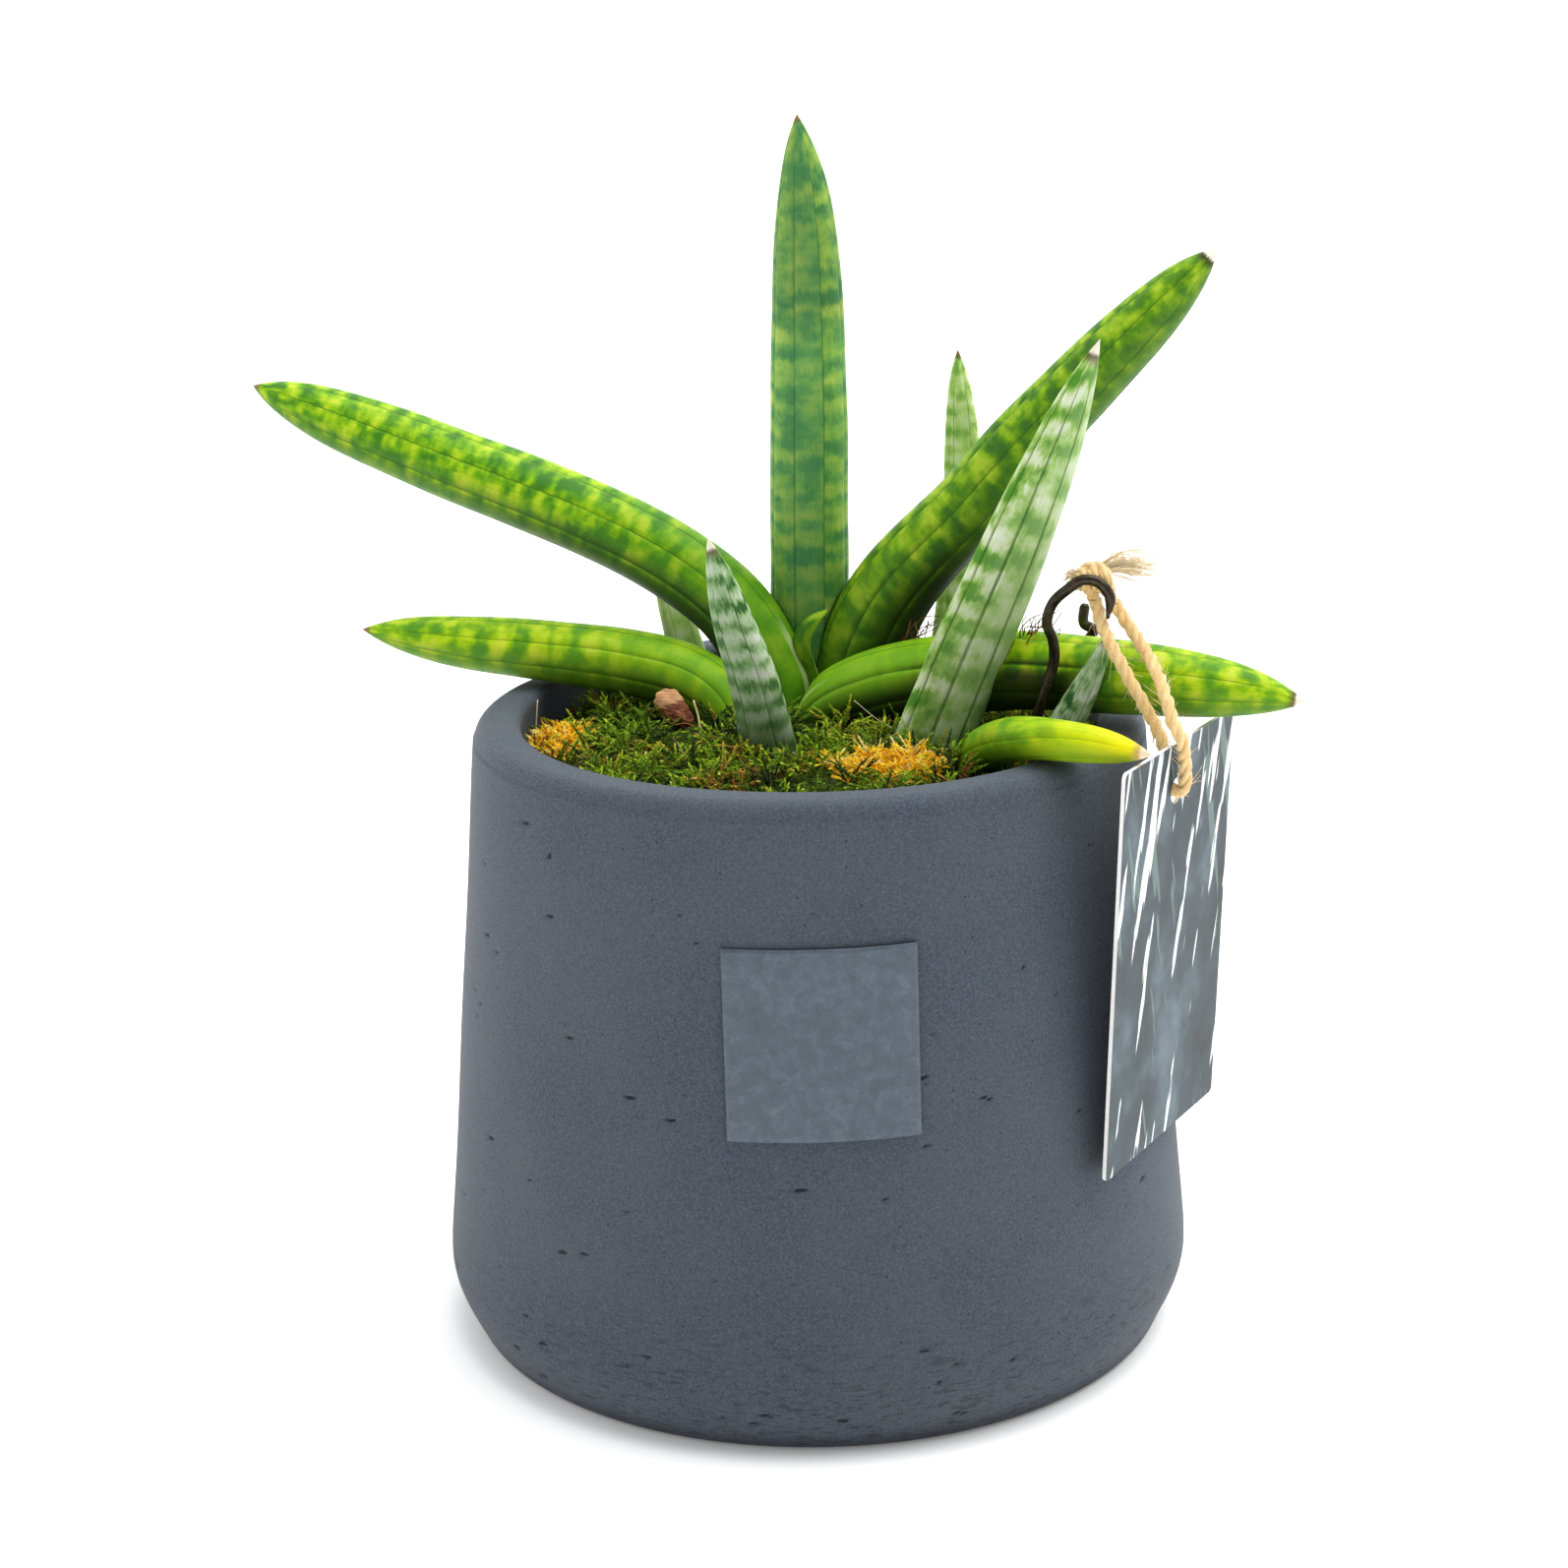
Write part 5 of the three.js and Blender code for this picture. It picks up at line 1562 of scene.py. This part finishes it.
class SNAKEPLANT_OT_litter(bpy.types.Operator):
    """Lays the dried moss, the bark chip and the loose fibres on the moss"""

    bl_idname = "snakeplant.litter"
    bl_label = "Dried moss and bark"

    def execute(self, context):
        random = np.random.default_rng(77)
        material = shoot_material("dry_moss", DRY_STOPS, "#f6e4b8", "#fcf4e0")
        for node, patch in DRY_PATCHES.items():
            self.dry_patch(node, patch, random, material)
            self.dry_mat(node, patch, material)
        self.bark(random)
        self.fibres(random)
        return {"FINISHED"}

    def dry_patch(self, node, patch, random, material):
        share = np.sqrt(random.uniform(0, 1, DRY_SHOOTS))
        angle = random.uniform(0, CIRCLE, DRY_SHOOTS)
        x, y = from_patch(patch, share, angle)
        z = moss_height(x, y) + patch["thickness"] * (1 - share**2) + 0.3
        lengths = random.uniform(2.6, 4.8, DRY_SHOOTS)
        ceiling, inside = clear_height(x, y, z)
        lengths = np.minimum(lengths, (ceiling - z) * 0.9)
        keep = ~inside & (lengths > 1.2) & (np.hypot(x, y) < inner_radius(MOSS_EDGE) - 2.5)
        feet, lengths = np.column_stack([x, y, z])[keep], lengths[keep]
        tones = patch["tone"] + 0.3 * np.sin(x * 0.9) * np.sin(y * 0.8)
        tones = tones + random.normal(size=DRY_SHOOTS) * 0.16
        heading = random.uniform(0, CIRCLE, len(feet))
        shoots = (feet, heading, 0.9, lengths, tones[keep])
        grow_shoots(node + "_tufts", *shoots, random, material, node, leaflets=DRY_LEAFLETS)

    def dry_mat(self, node, patch, material):
        """The matted foot of a dried patch, a low lumpy dome."""
        angle, share = dome_grid(90, 22, 0.03)
        torn = 1 + 0.1 * np.sin(5 * angle + 1) + 0.07 * np.sin(11 * angle)
        x, y = from_patch(patch, share * torn, angle)
        lumps = 0.35 * np.sin(2.3 * x + 0.4 * y) * np.sin(2.1 * y - 0.3 * x)
        z = moss_height(x, y) + patch["thickness"] * (1 - share**2) + lumps + 0.1
        z[0] -= 1.6
        points = np.stack([x, y, z], axis=-1).reshape(-1, 3)
        # The mat takes a middling painted shade.
        values = {"tone": np.full(len(points), patch["tone"] - 0.15), "light": np.full(len(points), 0.5)}
        make_piece(node + "_mat", points, closed_rings(*x.shape), [material], None, values=values)

    def bark(self, random):
        """A ball with flat sides struck off it, ridged, stretched and turned."""
        chip = bmesh.new()
        bmesh.ops.create_icosphere(chip, subdivisions=5, radius=1)
        points = np.array([vertex.co for vertex in chip.verts])
        faces = [[vertex.index for vertex in face.verts] for face in chip.faces]
        chip.free()
        for _ in range(BARK_CHIPS):
            direction = unit(random.normal(size=3))
            height = points @ direction
            limit = random.uniform(0.42, 0.8)
            points = points - np.maximum(height - limit, 0)[:, None] * direction * 0.92
        ridges = 0.035 * np.sin(points[:, 2] * 16 + 2 * np.sin(points[:, 0] * 3))
        ridges = ridges + 0.03 * np.sin(points[:, 0] * 21)
        points = points * (1 + ridges[:, None]) * BARK_HALVES
        turn = Matrix.Rotation(-0.3, 3, "Z") @ Matrix.Rotation(0.6, 3, "Y")
        points = points @ np.array(turn).T
        make_piece("bark_flake", points + BARK_PLACE, faces, [bark_material()], "bark_chip")

    def fibres(self, random):
        """A straw at the left wall, a pale flake by the bark, and short dry stalks on the moss."""
        litter = Parts()
        for points, radius, tone in ((STRAW, 0.17, 1.1), (PALE_FLAKE, 0.3, 0.8), (COBWEB, 0.06, 1.1)):
            litter.add_fibre(Route(points).even(12), radius, radius * 0.7, 6, tone)
        for ends, count, root in ((DEAD_STEMS, 9, 7), (HOOK_STEMS, 12, 1.5)):
            for _ in range(count):
                low, high = np.array(ends) + random.normal(size=(2, 3)) * (2.2, 1.0, 1.2)
                bend = (low + high) / 2 + random.normal(size=3) * 0.8
                stem = Route([low - (0, 0, root), low, bend, high])
                litter.add_fibre(stem.even(10), 0.16, 0.1, 5, random.uniform(0, 0.3))
        for _ in range(LOOSE_FIBRES):
            self.loose_fibre(litter, random)
        litter.make("litter", fibre_material())

    def loose_fibre(self, litter, random):
        """A stalk that lies on the moss, unless it would stick out over the wall or into a leaf."""
        angle = random.uniform(0, CIRCLE)
        radius = LOOSE_RADIUS * math.sqrt(random.uniform())
        middle = np.array([radius * math.cos(angle), radius * math.sin(angle)])
        heading = random.uniform(0, CIRCLE)
        half = random.uniform(1.5, 4)
        along = np.array([math.cos(heading), math.sin(heading)])
        ends = [middle + half * k * along for k in (-1, -0.3, 0.4, 1)]
        if max(np.hypot(*end) for end in ends) > LOOSE_RADIUS - 1:
            return
        lifts = random.uniform(1.6, 3.2, 4)
        route = Route([(*end, float(moss_height(*end)) + lift) for end, lift in zip(ends, lifts)])
        centres = route.even(10)
        _, inside = clear_height(*centres.T)
        if not inside.any():
            litter.add_fibre(centres, 0.16, 0.1, 5, random.uniform(0.1, 1))


# Hook

HOOK_ROUTE = [
    (59.8, -26.5, 157),
    (60.2, -26.5, 161.5),
    (58, -26, 164.3),
    (55, -25.5, 164.8),
    (52.1, -24.5, 162.8),
    (49.2, -23, 159.6),
    (48.1, -22, 155.4),
    (49.4, -20.5, 151.5),
    (49.8, -19.2, 147),
    (48.6, -18.6, 142),
    (46.8, -17.5, 136),
    (46, -13, 131),
    (46.5, -5.5, 129.3),
    (48.5, 1.5, 131.5),
    (52, 5.2, 137),
    (57, 5.3, 143),
    (59.9, 3.8, 147.4),
    (57.8, 3, 149.2),
    (58, 3, 153.3),
]


def hook_material():
    shade = Shade("dark_wire", roughness=0.35, specular=0.5, metallic=0.85)
    where = shade.place()
    patina = shade.noise(where, 0.35, 4, 0.65)
    tint = shade.ramp(patina, [(0.35, "#2a241f"), (0.55, "#433a30"), (0.7, "#5e5a44")])
    shade.bump(shade.noise(where, 2.5, 3, 0.6), 0.05, 0.5)
    return shade.finish(tint, shade.step(patina, 0.35, 0.7, 0.28, 0.5))


class SNAKEPLANT_OT_hook(bpy.types.Operator):
    """Bends the dark wire hook"""

    bl_idname = "snakeplant.hook"
    bl_label = "Hook"

    def execute(self, context):
        route = Route(HOOK_ROUTE)
        distances = np.linspace(0, route.length, 260)
        share = distances / route.length
        radius = WIRE_DIAMETER / 2 * np.minimum(1, 0.3 + 0.7 * share / 0.04)
        end = smoothstep(0, 0.7, route.length - distances)
        wire = Parts()
        wire.add_tube(route.at(distances), radius * (0.65 + 0.35 * end), 18)
        wire.make("hook_wire", hook_material(), "hook")
        return {"FINISHED"}


# Card

HOLE_POINTS = 36


def print_material():
    """A slate ground with pale slanting reeds, of no one's design."""
    shade = Shade("card_print", roughness=0.45, specular=0.2)
    place = shade.add("UVMap", uv_map="UVMap").outputs[0]
    across, down = shade.axis(place, 0), shade.axis(place, 1)
    cloud = shade.noise(shade.vector(across, down, 3.0), 0.05, 3, 0.6)
    tint = shade.ramp(cloud, [(0.3, "#1e282c"), (0.5, "#34434a"), (0.7, "#5e7079")])
    lower = shade.step(down, 22, 50, 0.0, 0.07)
    for slant, seed, share, pale in ((-0.3, 8.0, 0.56, "#5f7470"), (0.22, 2.0, 0.54, "#f4f8f8")):
        leant = shade.plus(across, shade.times(down, slant))
        where = shade.vector(shade.times(leant, 0.26), shade.times(down, 0.026), seed)
        reed = shade.minus(shade.noise(where, 1, 3, 0.55), lower)
        tint = shade.blend(shade.step(reed, share, share + 0.03), tint, pale)
    shade.bump(shade.noise(shade.place(), 3.0, 2, 0.5), 0.02, 0.3)
    return shade.finish(tint)


def paper_material():
    stops = [(0.3, "#e9e9e6"), (0.7, "#fbfbfa")]
    return grain_material("card_paper", stops, 0.7, 0.3, grain=(1.4, 4, 0.7), relief=(0.03, 0.4))


class SNAKEPLANT_OT_card(bpy.types.Operator):
    """Cuts the printed card with its punched hole"""

    bl_idname = "snakeplant.card"
    bl_label = "Card"

    def execute(self, context):
        c = TAG_CORNER_ROUND
        right, bottom = TAG_WIDTH - c, TAG_HEIGHT - c
        corners = ((right, c, -90), (right, bottom, 0), (c, bottom, 90), (c, c, 180))
        outline = np.vstack([arc((x, y), c, start, start + 90, 6) for x, y, start in corners])
        hole = arc(TAG_HOLE[:2], TAG_HOLE[2], 0, 360 / HOLE_POINTS - 360, HOLE_POINTS - 1)
        rings = [outline, hole]
        flat = np.vstack(rings)
        across = np.array([math.sin(TAG_HEADING), math.cos(TAG_HEADING), 0])
        outward = np.array([math.cos(TAG_HEADING), -math.sin(TAG_HEADING), 0])
        down = np.array([0, 0, -math.cos(TAG_TILT)]) - outward * math.sin(TAG_TILT)
        inward = np.cross(across, down)
        middle = TAG_CORNER + flat[:, :1] * across + flat[:, 1:] * down
        points = np.vstack([middle - inward * TAG_THICKNESS / 2, middle + inward * TAG_THICKNESS / 2])
        faces, fronts = self.card_faces(rings, flat)
        corner_index = np.concatenate([np.array(face) for face in faces]) % len(flat)
        materials = [paper_material(), print_material()]
        uvs = flat[corner_index]
        card = make_piece("tag_card", points, faces, materials, "tag", uvs=uvs, smooth=False)
        for number, polygon in enumerate(card.data.polygons):
            polygon.material_index = int(number < fronts and number % 2 == 0)
        return {"FINISHED"}

    def card_faces(self, rings, flat):
        """Front and back faces in turn, and then the edges, with the number of fronts and backs."""
        count = len(flat)
        faces = []
        for a, b, c in tessellate_polygon([[Vector((*p, 0)) for p in ring] for ring in rings]):
            turned = np.cross(flat[b] - flat[a], flat[c] - flat[a]) > 0
            face = [a, b, c] if turned else [a, c, b]
            faces.append(face[::-1])
            faces.append([k + count for k in face])
        fronts = len(faces)
        start = 0
        for ring in rings:
            loop = list(range(start, start + len(ring)))
            faces += [[a, b, b + count, a + count] for a, b in zip(loop, loop[1:] + loop[:1])]
            start += len(ring)
        return faces, fronts


# Soil and rhizome, which keep their CAD shapes


def soil_material():
    shade = Shade("potting_mix", roughness=0.95, specular=0.1)
    where = shade.place()
    grain = shade.noise(where, 0.5, 4, 0.7)
    chips = shade.cells(where, 0.22).outputs["Distance"]
    tint = shade.ramp(grain, [(0.3, "#1d140d"), (0.5, "#33241a"), (0.7, "#5b4330")])
    shade.bump(shade.plus(grain, chips), 1.2, 0.8)
    return shade.finish(shade.blend(shade.step(chips, 0.5, 0.3, 0.0, 0.5), tint, "#6a4c33"))


def rhizome_material():
    stops = [(0.3, "#9b6f3c"), (0.55, "#cfa066"), (0.75, "#ead0a0")]
    return grain_material("rhizome", stops, 0.7, 0.3, grain=(0.3, 4, 0.6), relief=(0.5, 0.6))


class SNAKEPLANT_OT_soil(bpy.types.Operator):
    """Gives the hidden soil and rhizome their finishes"""

    bl_idname = "snakeplant.soil"
    bl_label = "Soil and rhizome"

    def execute(self, context):
        for node, material in (("soil", soil_material()), ("rhizome", rhizome_material())):
            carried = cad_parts[node]
            carried.data.materials.clear()
            carried.data.materials.append(material)
        return {"FINISHED"}


# Panel and registration

PIECES = [
    SNAKEPLANT_OT_stage,
    SNAKEPLANT_OT_twine,
    SNAKEPLANT_OT_pot,
    SNAKEPLANT_OT_sticker,
    SNAKEPLANT_OT_soil,
    SNAKEPLANT_OT_leaves,
    SNAKEPLANT_OT_moss,
    SNAKEPLANT_OT_litter,
    SNAKEPLANT_OT_hook,
    SNAKEPLANT_OT_card,
]
SETTINGS = {
    "snakeplant_stage": SnakePlantStage,
    "snakeplant_pot": SnakePlantPot,
    "snakeplant_leaves": SnakePlantLeaves,
    "snakeplant_moss": SnakePlantMoss,
    "snakeplant_twine": SnakePlantTwine,
}


class SNAKEPLANT_PT_panel(bpy.types.Panel):
    """Lists the plant's pieces and their settings"""

    bl_label = "Snake Plant"
    bl_idname = "SNAKEPLANT_PT_panel"
    bl_space_type = "VIEW_3D"
    bl_region_type = "UI"
    bl_category = "Snake Plant"

    def draw(self, context):
        for piece in PIECES:
            self.layout.operator(piece.bl_idname)
        for name, group in SETTINGS.items():
            box = self.layout.box()
            for key in group.__annotations__:
                box.prop(getattr(context.scene, name), key)


def register():
    for name, group in SETTINGS.items():
        bpy.utils.register_class(group)
        setattr(bpy.types.Scene, name, PointerProperty(type=group))
    for piece in PIECES:
        bpy.utils.register_class(piece)
    bpy.utils.register_class(SNAKEPLANT_PT_panel)


def unregister():
    bpy.utils.unregister_class(SNAKEPLANT_PT_panel)
    for piece in reversed(PIECES):
        bpy.utils.unregister_class(piece)
    for name, group in SETTINGS.items():
        delattr(bpy.types.Scene, name)
        bpy.utils.unregister_class(group)


def main():
    register()
    for piece in PIECES:
        group, name = piece.bl_idname.split(".")
        getattr(getattr(bpy.ops, group), name)()


if __name__ == "__main__":
    main()
